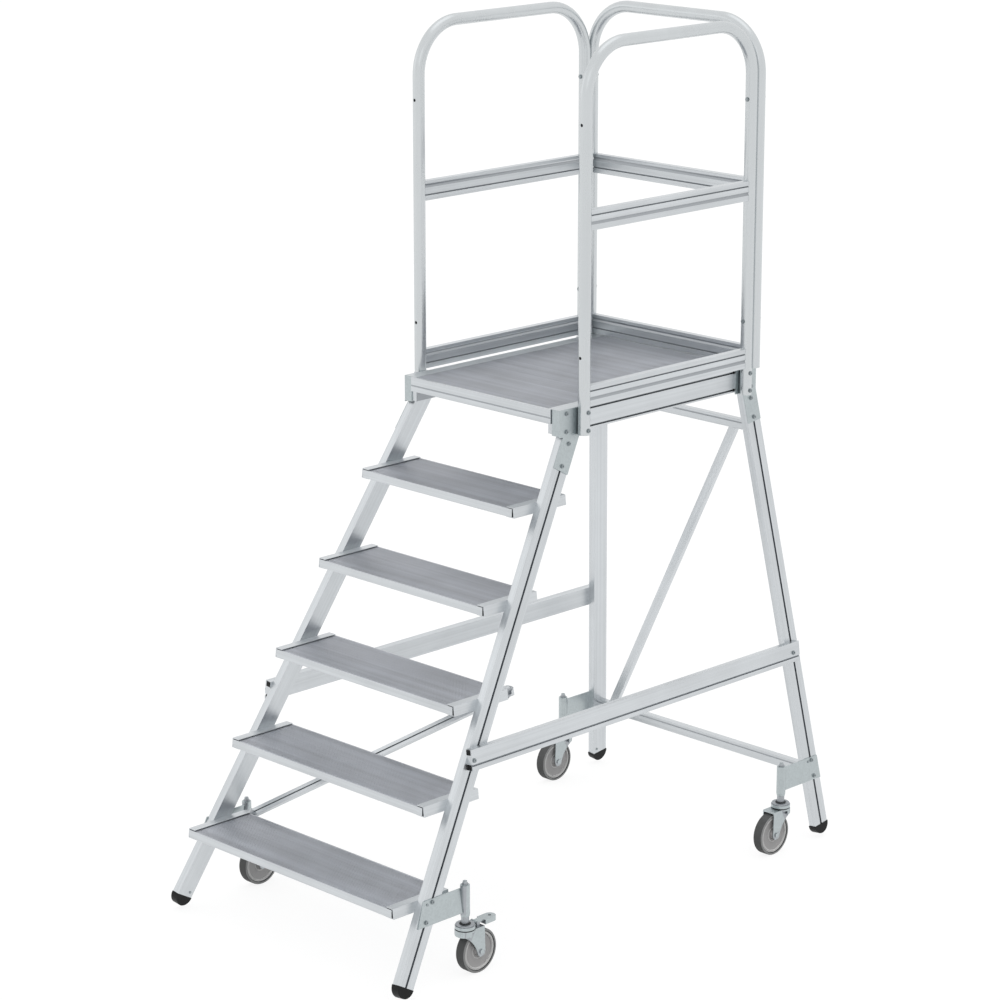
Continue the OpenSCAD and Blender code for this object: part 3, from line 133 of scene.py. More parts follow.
@dataclass(frozen=True)
class Finish:
    """A finish with one shader: what the real material is and how its surface was made."""

    name: str
    colour: str
    metallic: float
    roughness: float
    edge_mm: float = field(default=0.8, kw_only=True)
    gloss: float = field(default=0.5, kw_only=True)
    wear: float = field(default=0.5, kw_only=True)
    rub_level: float = field(default=1.12, kw_only=True)

    def material(self) -> bpy.types.Material:
        """Return this finish's material, made at its first use."""
        known = bpy.data.materials.get(self.name)
        if known is not None:
            return known
        made = bpy.data.materials.new(self.name)
        made.use_nodes = True
        tree = made.node_tree
        tree.nodes.clear()
        shader = add(tree, "BsdfPrincipled", {"Metallic": self.metallic, "Roughness": self.roughness})
        shader.inputs["Base Color"].default_value = srgb(self.colour)
        shader.inputs["Specular IOR Level"].default_value = self.gloss
        add(tree, "OutputMaterial", {"Surface": shader.outputs["BSDF"]})
        self.texture(tree, shader)
        made.diffuse_color = srgb(self.colour)
        return made

    def texture(self, tree: bpy.types.NodeTree, shader: bpy.types.Node) -> None:
        """Link the pattern of the surface to the shader.

        Args:
            tree: node tree of the material.
            shader: its principled shader.
        """
        raise NotImplementedError

    def place(
        self, tree: bpy.types.NodeTree, size: Point, turn: Point = (0.0, 0.0, 0.0)
    ) -> bpy.types.NodeSocket:
        """Lay a pattern on the part's own frame.

        Args:
            tree: node tree of the material.
            size: length of one unit of the pattern along each of its axes, in millimetres.
            turn: turns of the pattern in degrees.

        Returns:
            The socket with the pattern's coordinates.
        """
        where = add(tree, "TexCoord")
        laid = add(
            tree,
            "Mapping",
            {
                "Vector": where.outputs["Object"],
                "Rotation": tuple(math.radians(a) for a in turn),
                "Scale": tuple(s * MM for s in size),
            },
            {"vector_type": "TEXTURE"},
        )
        return laid.outputs["Vector"]

    def tint(
        self,
        tree: bpy.types.NodeTree,
        shader: bpy.types.Node,
        share: bpy.types.NodeSocket,
        low: float,
        high: float,
    ) -> None:
        """Vary the finish's colour between two levels, and rub it along the edges.

        Args:
            tree: node tree of the material.
            shader: its principled shader.
            share: socket that goes from zero to one over the surface.
            low: level of the colour at zero.
            high: level of the colour at one.
        """
        mix = add(
            tree,
            "Mix",
            {0: share, 6: srgb(self.colour, low), 7: srgb(self.colour, high)},
            {"data_type": "RGBA"},
        )
        rounded = self.rounded(tree)
        flat = add(tree, "NewGeometry")
        turn = add(
            tree,
            "VectorMath",
            {0: rounded, 1: flat.outputs["True Normal"]},
            {"operation": "DOT_PRODUCT"},
        )
        rubbed = add(
            tree,
            "MapRange",
            {"Value": turn.outputs["Value"], "From Min": RUB_FROM, "From Max": RUB_FULL, "To Max": self.wear},
        )
        worn = add(
            tree,
            "Mix",
            {0: rubbed.outputs["Result"], 6: mix.outputs[2], 7: srgb(self.colour, self.rub_level)},
            {"data_type": "RGBA"},
        )
        tree.links.new(worn.outputs[2], shader.inputs["Base Color"])

    def rounded(self, tree: bpy.types.NodeTree) -> bpy.types.NodeSocket:
        """Return a normal that rounds the edges by the finish's edge radius."""
        return add(tree, "Bevel", {"Radius": self.edge_mm * MM}, {"samples": BEVEL_RAYS}).outputs["Normal"]

    def spread(
        self, tree: bpy.types.NodeTree, shader: bpy.types.Node, share: bpy.types.NodeSocket, by: float
    ) -> None:
        """Vary the roughness evenly about its own value.

        Args:
            tree: node tree of the material.
            shader: its principled shader.
            share: socket that goes from zero to one over the surface.
            by: largest departure from the finish's roughness.
        """
        ranged = add(
            tree,
            "MapRange",
            {"Value": share, "To Min": self.roughness - by, "To Max": self.roughness + by},
        )
        tree.links.new(ranged.outputs["Result"], shader.inputs["Roughness"])

    def bump(
        self,
        tree: bpy.types.NodeTree,
        shader: bpy.types.Node,
        height: bpy.types.NodeSocket,
        depth: float,
        strength: float,
    ) -> None:
        """Raise and sink the surface by a pattern.

        Args:
            tree: node tree of the material.
            shader: its principled shader.
            height: socket of the pattern.
            depth: height of the pattern in millimetres.
            strength: share of it that shows.
        """
        raised = add(
            tree,
            "Bump",
            {
                "Height": height,
                "Distance": depth * MM,
                "Strength": strength,
                "Normal": self.rounded(tree),
            },
        )
        tree.links.new(raised.outputs["Normal"], shader.inputs["Normal"])


@dataclass(frozen=True)
class DrawnMetal(Finish):
    """Metal pulled through a die: fine lines along its length and a soft sheen across them."""

    grain: Grain = Grain.ALONG_X
    line_mm: float = 5.0
    run_mm: float = 500.0
    lines: float = 0.25
    tone: float = 0.06
    CLOUD_MM: ClassVar[float] = 160.0
    CLOUD_SHARE: ClassVar[float] = 0.35
    SPAN: ClassVar[tuple[float, float]] = (0.3, 0.7)
    SPREAD: ClassVar[float] = 0.05
    LINE_DEPTH: ClassVar[float] = 0.06
    SHEEN: ClassVar[float] = 0.25

    def texture(self, tree: bpy.types.NodeTree, shader: bpy.types.Node) -> None:
        """Link die lines to the colour, the roughness and the relief; see Finish.texture."""
        laid = self.place(tree, (self.run_mm, self.line_mm, self.line_mm), self.grain.turn())
        streak = add(tree, "TexNoise", {"Vector": laid, "Scale": 1.0, "Detail": 4.0, "Roughness": 0.6})
        cloud_at = self.place(tree, (self.CLOUD_MM,) * 3)
        cloud = add(tree, "TexNoise", {"Vector": cloud_at, "Scale": 1.0, "Detail": 3.0})
        both = add(
            tree,
            "Mix",
            {0: self.CLOUD_SHARE, 2: streak.outputs["Fac"], 3: cloud.outputs["Fac"]},
            {"data_type": "FLOAT"},
        )
        low, high = self.SPAN
        share = add(tree, "MapRange", {"Value": both.outputs[0], "From Min": low, "From Max": high})
        self.tint(tree, shader, share.outputs["Result"], 1 - self.tone, 1 + self.tone / 2)
        self.spread(tree, shader, share.outputs["Result"], self.SPREAD)
        self.bump(tree, shader, streak.outputs["Fac"], self.LINE_DEPTH, self.lines)
        shader.inputs["Anisotropic"].default_value = self.SHEEN


@dataclass(frozen=True)
class ZincPlate(Finish):
    """Pressed steel with bright zinc: a cool grey with a faint crystal mottling."""

    crystal_mm: float = 5.0
    CLOUD_MM: ClassVar[float] = 28.0
    CLOUD_SHARE: ClassVar[float] = 0.5
    SPAN: ClassVar[tuple[float, float]] = (0.25, 0.75)
    TONES: ClassVar[tuple[float, float]] = (0.9, 1.05)
    SPREAD: ClassVar[float] = 0.06
    RELIEF_MM: ClassVar[float] = 0.05
    RELIEF: ClassVar[float] = 0.2

    def texture(self, tree: bpy.types.NodeTree, shader: bpy.types.Node) -> None:
        """Link zinc crystals to the colour and the roughness; see Finish.texture."""
        laid = self.place(tree, (self.crystal_mm,) * 3)
        crystal = add(tree, "TexVoronoi", {"Vector": laid, "Scale": 1.0, "Randomness": 1.0})
        cloud_at = self.place(tree, (self.CLOUD_MM,) * 3)
        cloud = add(tree, "TexNoise", {"Vector": cloud_at, "Scale": 1.0, "Detail": 4.0})
        grey = add(tree, "RGBToBW", {"Color": crystal.outputs["Color"]})
        both = add(
            tree,
            "Mix",
            {0: self.CLOUD_SHARE, 2: grey.outputs["Val"], 3: cloud.outputs["Fac"]},
            {"data_type": "FLOAT"},
        )
        low, high = self.SPAN
        share = add(tree, "MapRange", {"Value": both.outputs[0], "From Min": low, "From Max": high})
        self.tint(tree, shader, share.outputs["Result"], *self.TONES)
        self.spread(tree, shader, share.outputs["Result"], self.SPREAD)
        self.bump(tree, shader, cloud.outputs["Fac"], self.RELIEF_MM, self.RELIEF)


@dataclass(frozen=True)
class Moulded(Finish):
    """Moulded plastic or rubber: an even colour with a fine spark-eroded grain."""

    grain_mm: float = 0.9
    relief: float = 0.3
    dust: float = 0.04
    CLOUD_MM: ClassVar[float] = 22.0
    SPAN: ClassVar[tuple[float, float]] = (0.3, 0.7)
    SPREAD: ClassVar[float] = 0.06
    RELIEF_MM: ClassVar[float] = 0.12

    def texture(self, tree: bpy.types.NodeTree, shader: bpy.types.Node) -> None:
        """Link the mould's grain to the relief and handling marks to the colour; see Finish.texture."""
        fine_at = self.place(tree, (self.grain_mm,) * 3)
        fine = add(tree, "TexNoise", {"Vector": fine_at, "Scale": 1.0, "Detail": 2.0})
        cloud_at = self.place(tree, (self.CLOUD_MM,) * 3)
        cloud = add(tree, "TexNoise", {"Vector": cloud_at, "Scale": 1.0, "Detail": 5.0, "Roughness": 0.65})
        low, high = self.SPAN
        share = add(tree, "MapRange", {"Value": cloud.outputs["Fac"], "From Min": low, "From Max": high})
        self.tint(tree, shader, share.outputs["Result"], 1 - self.dust, 1 + self.dust)
        self.spread(tree, shader, share.outputs["Result"], self.SPREAD)
        self.bump(tree, shader, fine.outputs["Fac"], self.RELIEF_MM, self.relief)


def drawn(
    name: str, colour: str, roughness: float, grain: Grain, line_mm: float, run_mm: float, **more: float
) -> DrawnMetal:
    """Return a bare drawn metal.

    Args:
        name: its material and making.
        colour: its sRGB hex value.
        roughness: how far its skin scatters a reflection.
        grain: direction of its die lines.
        line_mm: their spacing in millimetres.
        run_mm: their length in millimetres.
        more: other fields of the finish.

    Returns:
        The finish.
    """
    return DrawnMetal(name, colour, 1.0, roughness, grain, line_mm, run_mm, **more)


def profile_finish(grain: Grain) -> DrawnMetal:
    """Extruded aluminium as it leaves the press: pale, satin, with die lines along the bar."""
    name = "aluminium_extruded_mill_" + grain.name.lower()
    # Die lines are a few tenths of a millimetre apart, drawn at 8 mm here because finer ones wouldn't show.
    return drawn(name, "#d2d6d9", 0.34, grain, 8.0, 1200.0, lines=0.15, tone=0.16)


# Ribbed aluminium extrusion, duller than the frame, with its ribbed top darkened as painted shade.
# Soles and brooms polish it in long streaks, about four ribs wide.
TREAD = drawn("aluminium_extruded_ribbed", "#c0c3c9", 0.42, Grain.ALONG_X, 26.0, 1400.0, lines=0.1, tone=0.3)
# Drawn round tube with a satin skin: as pale as the bars, smoother and without lines.
TUBE = drawn(
    "aluminium_tube_drawn_satin", "#ced2d4", 0.28, Grain.UPRIGHT, 60.0, 600.0, lines=0.0, edge_mm=0.2
)
# Cut and pressed steel plate with bright zinc: cooler and a little darker than the aluminium.
ZINC = ZincPlate("steel_pressed_zinc_plated", "#b9c1c3", metallic=1.0, roughness=0.36)
# Turned steel bolts with zinc: small, dark between their highlights.
BOLT = ZincPlate("steel_turned_zinc_plated", "#9ba2a5", metallic=1.0, roughness=0.3, crystal_mm=3.0)
# Wound spring wire with an oil film: smooth and darker than the zinc.
SPRING = ZincPlate("steel_spring_wire_oiled", "#8d9194", metallic=1.0, roughness=0.28, crystal_mm=3.0)
# Black polyamide, moulded with a fine grain: soft highlights only.
BLACK = Moulded(
    "polyamide_moulded_black", "#0f1011", metallic=0.0, roughness=0.42, gloss=0.22, wear=0.6, rub_level=2.5
)
# Grey polyamide of the wheel bodies: even and matt where the mould was eroded.
WHEEL = Moulded("polyamide_moulded_grey", "#bbbaba", metallic=0.0, roughness=0.5, grain_mm=1.2)
# The same polyamide on the rims: smoother, and lighter as a painted highlight.
RIM_HIGHLIGHT = Moulded(
    "polyamide_moulded_grey_polished", "#e0e0df", metallic=0.0, roughness=0.32, grain_mm=1.2, relief=0.05
)
# Grey rubber on the sides of the tyres, lightened as a painted highlight: a little darker than the wheels,
# with dust on it.
TYRE_HIGHLIGHT = Moulded(
    "rubber_moulded_grey", "#9c9d9d", metallic=0.0, roughness=0.55, grain_mm=1.5, relief=0.25, dust=0.1
)
# The tyres' running faces, darkened as painted shade.
RUNNING_SHADE = Moulded(
    "rubber_grey_running_painted_shade",
    "#565757",
    metallic=0.0,
    roughness=0.68,
    grain_mm=1.5,
    relief=0.5,
    dust=0.16,
)
# Inside of slots and hollow bars: the pale skin, darkened as painted shade where little light reaches it.
SLOT_SHADE = drawn("aluminium_extruded_slot_dusty", "#a0a5aa", 0.5, Grain.ALONG_X, 12.0, 300.0, lines=0.1)
# Flanks of shallow grooves, as painted shade a little greyer than the open faces.
GROOVE_SHADE = drawn("aluminium_extruded_groove_unwiped", "#adb1b5", 0.45, Grain.ALONG_X, 12.0, 300.0, lines=0.1)
# Welded steel seams under the zinc: ripples that break the light.
WELD = ZincPlate("steel_weld_zinc_plated", "#8f979a", metallic=1.0, roughness=0.42, crystal_mm=2.0)
# Almost black moulded rings of painted shade in the gaps of the swivel heads, round the feet of the stems and
# where the tyres meet the rims.
GAP_SHADE = Moulded("black_painted_shade_in_gaps", "#2a2b2d", metallic=0.0, roughness=0.55, grain_mm=1.0)


# Mesh helpers


def solid(name: str, shape: bmesh.types.BMesh, finish: Finish, body: str) -> None:
    """Turn a worked mesh into a piece that rides on a body.

    Args:
        name: name of the piece.
        shape: its mesh, in metres in the part's frame; it is used up.
        finish: finish of the whole piece.
        body: CAD body that it moves with.
    """
    bmesh.ops.remove_doubles(shape, verts=shape.verts, dist=SAME_POINT)
    bmesh.ops.recalc_face_normals(shape, faces=shape.faces)
    mesh = bpy.data.meshes.new(name)
    shape.to_mesh(mesh)
    shape.free()
    mesh.shade_smooth()
    mesh.set_sharp_from_angle(angle=math.radians(SHARP_ANGLE))
    piece = bpy.data.objects.new(name, mesh)
    bpy.context.scene.collection.objects.link(piece)
    mesh.materials.append(finish.material())
    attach(piece, body)
    log.info("%s: %d faces on %s", name, len(mesh.polygons), body)


def lathe(
    shape: bmesh.types.BMesh, outline: Sequence[tuple[float, float]], seat: Matrix, steps: int = 48
) -> None:
    """Turn a closed outline about an axis.

    Args:
        shape: mesh that takes the ring.
        outline: corners as radius and height, in millimetres, going round the section.
        seat: place of the ring, whose axis is its Z.
        steps: faces round the axis.
    """
    rings = []
    for i in range(steps):
        a = math.tau * i / steps
        ring = [Vector((r * MM * math.cos(a), r * MM * math.sin(a), z * MM)) for r, z in outline]
        rings.append([shape.verts.new(seat @ corner) for corner in ring])
    count = len(outline)
    for i in range(steps):
        here, there = rings[i], rings[(i + 1) % steps]
        for k in range(count):
            n = (k + 1) % count
            shape.faces.new((here[k], there[k], there[n], here[n]))


def even_rays(count: int) -> list[Vector]:
    """Return unit vectors spread evenly over all directions."""
    golden = math.pi * (3 - math.sqrt(5))
    rays = []
    for i in range(count):
        z = 1 - (2 * i + 1) / count
        r = math.sqrt(1 - z * z)
        rays.append(Vector((r * math.cos(golden * i), r * math.sin(golden * i), z)))
    return rays


def bead(
    shape: bmesh.types.BMesh, path: Sequence[Point], radius: float, ripple: float, sides: int = 8
) -> None:
    """Draw a closed bead along a path, with ripples as a weld has.

    Args:
        shape: mesh that takes the bead.
        path: points in millimetres.
        radius: radius of the bead in millimetres.
        ripple: share by which every second ring is thicker.
        sides: faces round the bead.
    """
    points = [Vector(p) * MM for p in path]
    turns = [math.tau * k / sides for k in range(sides)]
    rings = []
    for i, point in enumerate(points):
        ahead = (points[min(i + 1, len(points) - 1)] - points[max(i - 1, 0)]).normalized()
        seat = ahead.to_track_quat("Z", "X").to_matrix()
        end = i in (0, len(points) - 1)
        r = radius * MM * (WELD_END if end else 1 + ripple * (i % 2))
        ring = [Vector((r * math.cos(a), r * math.sin(a), 0.0)) for a in turns]
        rings.append([shape.verts.new(point + seat @ corner) for corner in ring])
    for here, there in zip(rings, rings[1:]):
        for k in range(sides):
            n = (k + 1) % sides
            shape.faces.new((here[k], here[n], there[n], there[k]))
    shape.faces.new(rings[0])
    shape.faces.new(rings[-1])


# The part


@dataclass
class Dressing:
    """The CAD pieces, each in the finish of its real material."""

    grains: Mapping[str, Grain] = field(
        default_factory=lambda: {
            "stile_left": Grain.STILE_LEFT,
            "stile_right": Grain.STILE_RIGHT,
            "rear_leg_left": Grain.LEG_LEFT,
            "rear_leg_right": Grain.LEG_RIGHT,
            "rear_diagonal": Grain.REAR_DIAGONAL,
            "front_diagonal": Grain.FRONT_DIAGONAL,
            "side_braces": Grain.ALONG_Y,
            "side_beam_left": Grain.ALONG_Y,
            "side_beam_right": Grain.ALONG_Y,
            "side_knee_rails": Grain.ALONG_Y,
            "side_toe_boards": Grain.ALONG_Y,
            "tread_caps": Grain.ALONG_Y,
        }
    )
    finishes: Mapping[str, Finish] = field(
        default_factory=lambda: {
            "aluminium_tread": TREAD,
            "aluminium_tube": TUBE,
            "zinc_plate": ZINC,
            "bolt_steel": BOLT,
            "spring_steel": SPRING,
            "black_plastic": BLACK,
            "wheel_plastic": WHEEL,
            "tyre_rubber": TYRE_HIGHLIGHT,
        }
    )
    hollow: frozenset[str] = frozenset(
        {"aluminium_profile", "aluminium_tread", "aluminium_tube", "zinc_plate"}
    )
    reach: float = 60 * MM
    open_share: float = 0.62
    flank_share: float = 0.93
    rib_share: float = 0.3
    ribbed_top_depth: float = 3 * MM
    side_turn: float = 0.6
    rim_from: float = 47 * MM
    lift: float = 0.05 * MM
    grazing: float = 0.15
    rays: Sequence[Vector] = field(default_factory=lambda: even_rays(SKY_RAYS))

    def dress(self) -> None:
        """Give each CAD node the finish of its material slot."""
        for row in frame["record"]["subparts"]:
            node, slot = row["node"], row["material_slot"]
            finish = self.finishes.get(slot)
            if finish is None:
                finish = profile_finish(self.grains.get(node, Grain.ALONG_X))
            mesh = frame["nodes"][node].data
            mesh.materials.clear()
            mesh.materials.append(finish.material())
            if slot in self.hollow:
                deep, mild = self.shade(mesh, self.rib_share if finish is TREAD else self.open_share)
                log.info("%s: %s, %d faces in slots, %d in grooves", node, finish.name, deep, mild)
            else:
                log.info("%s: %s", node, finish.name)
            if finish is TREAD:
                self.pale_sides(mesh)
            elif finish is TYRE_HIGHLIGHT:
                # Running faces take the darker finish as painted shade; the sides keep the lighter one as a
                # painted highlight.
                self.refinish(mesh, RUNNING_SHADE, lambda face: abs(face.normal.x) < self.side_turn)
            elif finish is WHEEL:
                middle = sum((Vector(c) for c in frame["nodes"][node].bound_box), Vector()) / 8
                # Faces beyond the rim radius take the lighter finish as a painted highlight.
                self.refinish(mesh, RIM_HIGHLIGHT, lambda face: (face.center - middle).yz.length > self.rim_from)

    def refinish(
        self, mesh: bpy.types.Mesh, finish: Finish, wanted: Callable[[bpy.types.MeshPolygon], bool]
    ) -> None:
        """Give some faces of a mesh another finish.

        Args:
            mesh: mesh of a CAD node.
            finish: finish of the chosen faces.
            wanted: tells whether a face is one of them.
        """
        mesh.materials.append(finish.material())
        for face in mesh.polygons:
            if wanted(face):
                face.material_index = len(mesh.materials) - 1

    def shade(self, mesh: bpy.types.Mesh, share: float) -> tuple[int, int]:
        """Give painted shade to faces inside slots and hollow bars, and a milder painted shade to groove
        flanks.

        Args:
            mesh: mesh of a CAD node.
            share: share of free directions below which a face counts as inside.

        Returns:
            The number of faces inside, and of those on groove flanks.
        """
        tree = BVHTree.FromPolygons([v.co for v in mesh.vertices], [p.vertices for p in mesh.polygons])
        mesh.materials.append(SLOT_SHADE.material())
        mesh.materials.append(GROOVE_SHADE.material())
        count = [0, 0]
        for face in mesh.polygons:
            rays = [ray for ray in self.rays if ray.dot(face.normal) > self.grazing]
            start = face.center + face.normal * self.lift
            free = sum(tree.ray_cast(start, ray, self.reach)[0] is None for ray in rays) / len(rays)
            # Faces that see little sky take the slots' painted shade, and groove flanks a milder one.
            if free < share:
                face.material_index = 1
                count[0] += 1
            elif share == self.open_share and free < self.flank_share:
                face.material_index = 2
                count[1] += 1
        return count[0], count[1]

    def pale_sides(self, mesh: bpy.types.Mesh) -> None:
        """Leave the pale mill finish on the faces of a ribbed plank below its ribbed top, whose darker finish
        is painted shade.
        """
        low = max(v.co.z for v in mesh.vertices) - self.ribbed_top_depth
        bare = profile_finish(Grain.ALONG_X)
        self.refinish(mesh, bare, lambda face: face.material_index == 0 and face.center.z < low)


@dataclass
class Castors:
    """Small pieces of the four castors that the solids leave out."""

    sleeve_x: float = 446.40
    front_y: float = -615.0
    rear_y: float = 686.0
    ring_low: float = 134.0
    seal_low: float = 0.4
    seal_high: float = 2.7
    seal_in: float = 23.3
    seal_out: float = 26.6
    seal_round: float = 0.8
    boot_low: float = 150.1
    boot_high: float = 152.4
    boot_in: float = 11.2
    boot_out: float = 16.2
    boot_draft: float = 0.4
    boot_lip: float = 1.6
    sleeve_r: float = 13.3
    plate_half: float = 1.51
    plate_low: float = 185.0
    plate_top: float = 250.0
    splay: float = 7.0
    weld_r: float = 1.3
    weld_ripple: float = 0.25
    weld_steps: int = 24
    trail: float = 41.0
    wheel_r: float = 62.5
    rings: Sequence[tuple[float, float]] = ((50.0, 12.75), (22.0, 9.5))
    ring_half: float = 1.7
    ring_sink: float = 0.3
    ring_side: float = 0.6
    ring_high: float = 0.9
    ring_top: float = 0.7
    ring_steps: int = 64
    rim_face: float = 12.75
    rim_gap_in: float = 54.0
    rim_gap_out: float = 56.0
    rim_gap_sink: float = 0.1
    rim_gap_high: float = 1.2
    rim_gap_slope: float = 0.6
    rim_gap_low: float = 0.3

    def places(self) -> Mapping[str, Point]:
        """Return each castor's swivel axis at the floor, in millimetres."""
        return {
            "fl": (-self.sleeve_x, self.front_y, 0.0),
            "fr": (self.sleeve_x, self.front_y, 0.0),
            "rl": (-self.sleeve_x, self.rear_y, 0.0),
            "rr": (self.sleeve_x, self.rear_y, 0.0),
        }

    def build(self) -> None:
        """Make each castor's rings of painted shade in its gaps, its welds and its wheel rings."""
        for key, place in self.places().items():
            self.seal(key, place)
            self.boot(key, place)
            self.welds(key, place)
            self.rim_highlight_rings(key, place)

    def rim_highlight_rings(self, key: str, place: Point) -> None:
        """Turn the moulded rings on both sides of a wheel's body, lighter as a painted highlight.

        Args:
            key: letters of the castor.
            place: its swivel axis at the floor.
        """
        shape = bmesh.new()
        behind = self.trail if key[0] == "f" else -self.trail
        hub = Vector((place[0], place[1] + behind, self.wheel_r)) * MM
        top = self.ring_half * self.ring_top
        for seat in self.wheel_sides(hub):
            for radius, face in self.rings:
                outline = [
                    (radius - self.ring_half, face - self.ring_sink),
                    (radius + self.ring_half, face - self.ring_sink),
                    (radius + top, face + self.ring_side),
                    (radius, face + self.ring_high),
                    (radius - top, face + self.ring_side),
                ]
                lathe(shape, outline, seat, self.ring_steps)
        solid("rim_highlight_rings_" + key, shape, RIM_HIGHLIGHT, "wheel_" + key)
        self.rim_gap_shade(key, hub)

    def wheel_sides(self, hub: Vector) -> list[Matrix]:
        """Return the seats of a wheel's two sides, whose Z points outward from its middle in metres."""
        middle = Matrix.Translation(hub)
        return [middle @ Matrix.Rotation(math.radians(turn), 4, "Y") for turn in (-90.0, 90.0)]

    def rim_gap_shade(self, key: str, hub: Vector) -> None:
        """Turn the dark fillets of painted shade where a tyre meets its wheel's rim.

        Args:
            key: letters of the castor.
            hub: middle of the wheel, in metres.
        """
        shape = bmesh.new()
        low = self.rim_face - self.rim_gap_sink
        outline = [
            (self.rim_gap_in, low),
            (self.rim_gap_out, low),
            (self.rim_gap_out, self.rim_face + self.rim_gap_high),
            (self.rim_gap_in + self.rim_gap_slope, self.rim_face + self.rim_gap_low),
        ]
        for seat in self.wheel_sides(hub):
            lathe(shape, outline, seat, self.ring_steps)
        solid("rim_gap_shade_" + key, shape, GAP_SHADE, "wheel_" + key)

    def boot(self, key: str, place: Point) -> None:
        """Make the dark lip of painted shade round the foot of a stem.

        Args:
            key: letters of the castor.
            place: its swivel axis at the floor.
        """
        shape = bmesh.new()
        middle = (self.boot_low + self.boot_high) / 2
        outline = [
            (self.boot_in, self.boot_low),
            (self.boot_out, self.boot_low),
            (self.boot_out - self.boot_draft, middle),
            (self.boot_in + self.boot_lip, self.boot_high),
            (self.boot_in, self.boot_high),
        ]
        seat = Matrix.Translation(Vector(place) * MM)
        lathe(shape, outline, seat)
        solid("stem_boot_" + key, shape, GAP_SHADE, "stem_" + key)

    def welds(self, key: str, place: Point) -> None:
        """Lay the two weld beads between a sleeve and the plate that carries it.

        Args:
            key: letters of the castor.
            place: its swivel axis at the floor.
        """
        shape = bmesh.new()
        side = 1.0 if key[1] == "r" else -1.0
        ahead = -1.0 if key[0] == "f" else 1.0
        middle = (self.plate_low + self.plate_top) / 2
        lean = math.tan(math.radians(self.splay))
        for face in (-1.0, 1.0):
            path = []
            for i in range(self.weld_steps + 1):
                z = self.plate_low + (self.plate_top - self.plate_low) * i / self.weld_steps
                out = face * (self.plate_half + self.weld_r / 2) - (z - middle) * lean
                back = ahead * (math.sqrt(self.sleeve_r**2 - out**2) + self.weld_r / 4)
                path.append((place[0] + side * out, place[1] + back, z))
            bead(shape, path, self.weld_r, self.weld_ripple)
        solid("sleeve_welds_" + key, shape, WELD, "frame")

    def seal(self, key: str, place: Point) -> None:
        """Make the dark ring of painted shade between the two halves of a swivel head.

        Args:
            key: letters of the castor.
            place: its swivel axis at the floor.
        """
        shape = bmesh.new()
        low, high = self.ring_low + self.seal_low, self.ring_low + self.seal_high
        outline = [
            (self.seal_in, low),
            (self.seal_out - self.seal_round, low),
            (self.seal_out, (low + high) / 2),
            (self.seal_out - self.seal_round, high),
            (self.seal_in, high),
        ]
        seat = Matrix.Translation(Vector(place) * MM)
        lathe(shape, outline, seat)
        solid("head_gap_shade_" + key, shape, GAP_SHADE, "stem_" + key)


@dataclass
class Platform:
    """Small pieces of the platform that the solids leave out."""

    beam_x: float = 302.15
    slot_z: tuple[float, float] = (1387.2, 1438.0)
    beam_end: float = 698.82
    cap_x: tuple[float, float] = (260.6, 301.9)
    cap_z: tuple[float, float] = (1380.3, 1449.7)
    cap_rings: Sequence[tuple[float, float]] = ((0.0, 0.1), (0.0, 1.6), (1.2, 2.8), (5.0, 2.8), (5.8, 2.0))
    plug_y: float = 604.5
    plug_r: float = 4.4
    plug_high: float = 1.6
    stud_x: float = 305.15
    stud_y: float = 681.0
    stud_z: float = 1386.5
    stud_r: float = 5.0
    stud_high: float = 3.6
    head_sink: float = 0.4
    head_side: float = 0.4
    head_top: float = 0.7
    head_round: float = 0.85
    head_steps: int = 24

    def build(self) -> None:
        """Make the plugs in the slots and ends of the side beams and the studs of the rear gussets."""
        plugs, caps, studs = bmesh.new(), bmesh.new(), bmesh.new()
        for side in (-1.0, 1.0):
            for z in self.slot_z:
                self.button(plugs, side, (self.beam_x, self.plug_y, z), self.plug_r, self.plug_high)
            self.button(studs, side, (self.stud_x, self.stud_y, self.stud_z), self.stud_r, self.stud_high)
            self.end_cap(caps, side)
        solid("slot_plugs", plugs, BLACK, "frame")
        solid("beam_end_caps", caps, BLACK, "frame")
        solid("gusset_studs", studs, BOLT, "frame")

    def end_cap(self, shape: bmesh.types.BMesh, side: float) -> None:
        """Mould a cap with a chamfered face over the rear end of a side beam.

        Args:
            shape: mesh that takes the cap.
            side: one on the right and minus one on the left.
        """
        (x0, x1), (z0, z1) = self.cap_x, self.cap_z
        rings = []
        for inset, y in self.cap_rings:
            corners = ((x0 + inset, z0 + inset), (x1 - inset, z0 + inset))
            corners += ((x1 - inset, z1 - inset), (x0 + inset, z1 - inset))
            rings.append([shape.verts.new(Vector((side * x, self.beam_end + y, z)) * MM) for x, z in corners])
        for here, there in zip(rings, rings[1:]):
            for k in range(4):
                n = (k + 1) % 4
                shape.faces.new((here[k], here[n], there[n], there[k]))
        shape.faces.new(rings[0])
        shape.faces.new(rings[-1])

    def button(self, shape: bmesh.types.BMesh, side: float, place: Point, radius: float, high: float) -> None:
        """Turn a low domed head on an outer face.

        Args:
            shape: mesh that takes the head.
            side: one on the right and minus one on the left.
            place: middle of its foot on the right, in millimetres.
            radius: radius of its foot.
            high: height of the dome.
        """
        outline = [
            (0.0, -self.head_sink),
            (radius, -self.head_sink),
            (radius, high * self.head_side),
            (radius * self.head_top, high * self.head_round),
            (0.0, high),
        ]
        seat = Matrix.Translation(Vector((side * place[0], place[1], place[2])) * MM)
        seat = seat @ Matrix.Rotation(math.radians(90.0 * side), 4, "Y")
        lathe(shape, outline, seat, self.head_steps)


